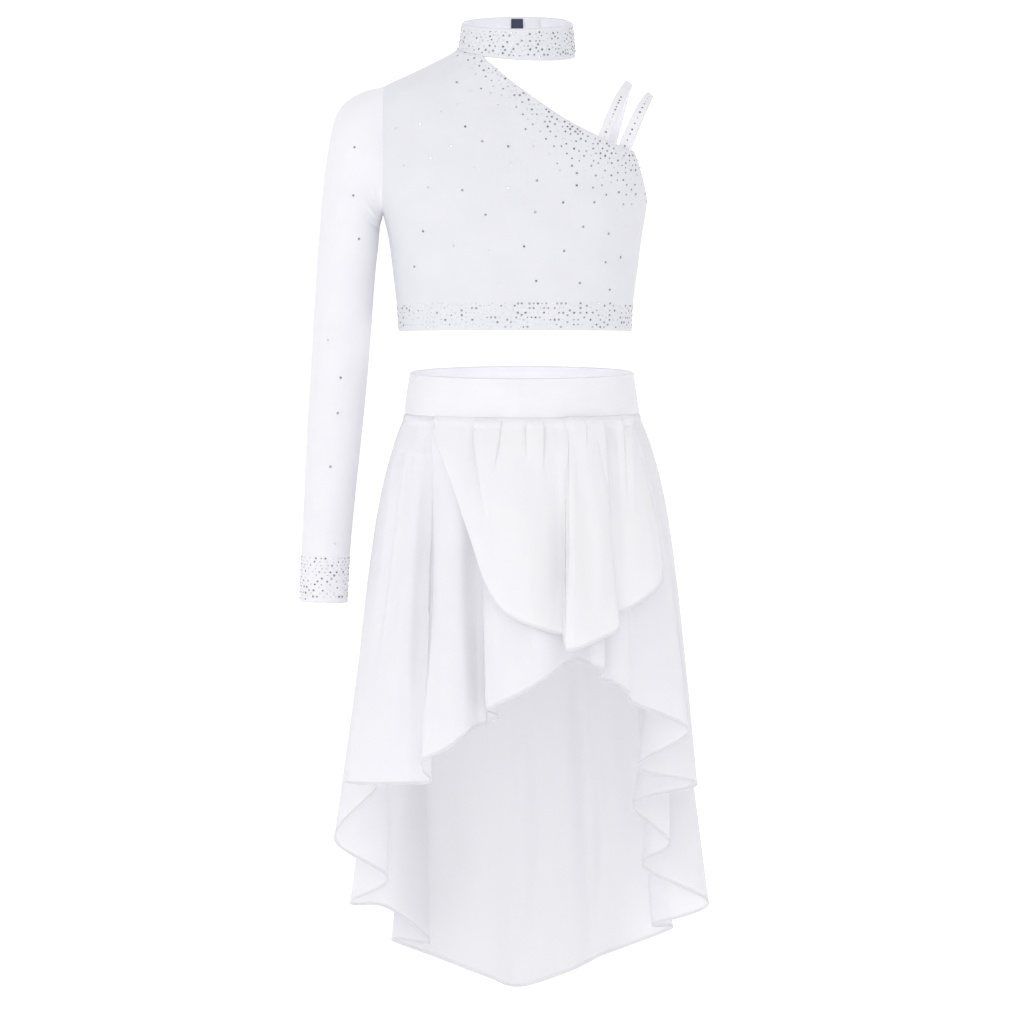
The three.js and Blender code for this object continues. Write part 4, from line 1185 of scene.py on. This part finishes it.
front_long = long_panel(LEFT_SEAM, RIGHT_SEAM, 84, FRONT_PLEATS, FRONT_TROUGHS, -1)
back_long = long_panel(RIGHT_SEAM, len(HEM_FOLDS), 124, BACK_PLEATS, BACK_TROUGHS, 1)
skirt_front = hemmed("skirt_front_panel", front_long, hem_share(front_long), sheer_front)
skirt_back = hemmed("skirt_back_panel", back_long, hem_share(back_long), sheer_back)
for piece, node, flat, area in (
    (skirt_front, "skirt_front", (0.62, 0.34), 0.105),
    (skirt_back, "skirt_back", (0.95, 0.55), 0.27),
):
    dressed(piece, node, "chiffon", flat=flat, held="gathered", rests_on=["waistband_elastic"], area=area)

# The petal on top.
# A shorter layer of the same cloth over the front, slanting from the left of the waist to its
# point in the middle and up again to the right side. It is gathered in with the long layer.
PETAL_FOLDS = [  # turn, drop, swing, off
    (-47, 8, 0, 0), (-38, 33, 0, 0), (-31, 56, 0, 0), (-24.5, 86, 0, 1), (-20, 110, 0, 1), (-15, 140, 0, 2),
    (-9, 165, 0, 3), (-1, 178, 0, 2), (8, 186, 1, 0), (13, 191, 6, 0), (16, 202, -6, 9), (20, 200, -3, 11),
    (25, 194, 0, 9), (30, 188, 4, 8), (33, 182, 3, 6), (35, 173, -3, 1), (40, 168, 0, 2), (46, 161, 0, 4),
    (53, 152, 0, 5), (58, 146, 0, 2), (61, 131, 0, 0),
]
PETAL_PLEATS = [  # x and z of both ends, half width, lap, step
    (-42, -38, -31, -150, 6, 3.2, 2.0), (-17, -38, -26, -92, 5, 2.4, -1.4), (3, -38, 4, -84, 5, 2.4, 1.3),
    (18.5, -38, 19, -90, 4, 1.8, -1.0), (38, -36, 39.5, -330, 6.5, 4.6, 2.4),
    (54, -38, 56, -78, 4, 1.8, 1.1), (71, -38, 80, -150, 5.5, 2.6, -1.5), (88, -38, 95, -130, 5, 2.4, 1.3),
]
PETAL_TROUGHS = [
    (-12, -60, -2, -260, 12, 2.6), (22, -60, 24, -240, 9, -2.2), (54, -60, 62, -240, 8, 2.6),
    (77, -56, 88, -190, 7, -2.4), (104, -90, 116, -200, 7, 1.6), (-34, -90, -20, -200, 8, -1.6),
]
PETAL_CLEAR, PETAL_OFF = 1.1, 0.045  # how far it stands off at the seam, and more for each mm down
PETAL_COLUMNS, PETAL_ROWS = 300, 76


def petal_point(spot, part):
    """Points of the petal, counted in the same way as the long layer."""
    turn, drop, swing, off = np.moveaxis(rows_between(PETAL_FOLDS, spot), -1, 0)
    fallen = drop * part
    points = skirt_base(turn, fallen, PETAL_CLEAR + PETAL_OFF * fallen + off * part)
    way = outward(turn)
    sideways = np.stack([-way[..., 1], way[..., 0], way[..., 2]], axis=-1)
    return points + sideways * (swing * part**1.2)[..., None]


petal_spots = np.linspace(0, len(PETAL_FOLDS) - 1, PETAL_COLUMNS)
petal_grid = np.meshgrid(petal_spots, hem_rows(PETAL_ROWS, 170, 1.1))
petal_points = folded(pleated(petal_point(*petal_grid), PETAL_PLEATS, 1), PETAL_TROUGHS)
# The petal's copy of the same sheer cloth is painted whiter, as painted light where it lies over the long
# layer.
lit_sheer_petal = sheer_finish("lit_sheer_petal", colour(0.99, 0.985, 1.0), colour(0.975, 0.97, 1.0), 0.8, 0.12)
fading = smoothstep(petal_points[..., 0].ravel(), -55, -5)  # its hem is finer at the left
rolled = hem_share(petal_points) * (0.25 + 0.75 * fading)
petal = hemmed("skirt_petal", petal_points, rolled, lit_sheer_petal)
dressed(
    petal, "skirt_overlay", "chiffon",
    flat=(0.3, 0.21), held="gathered", rests_on=["waistband_elastic"], area=0.038,
)
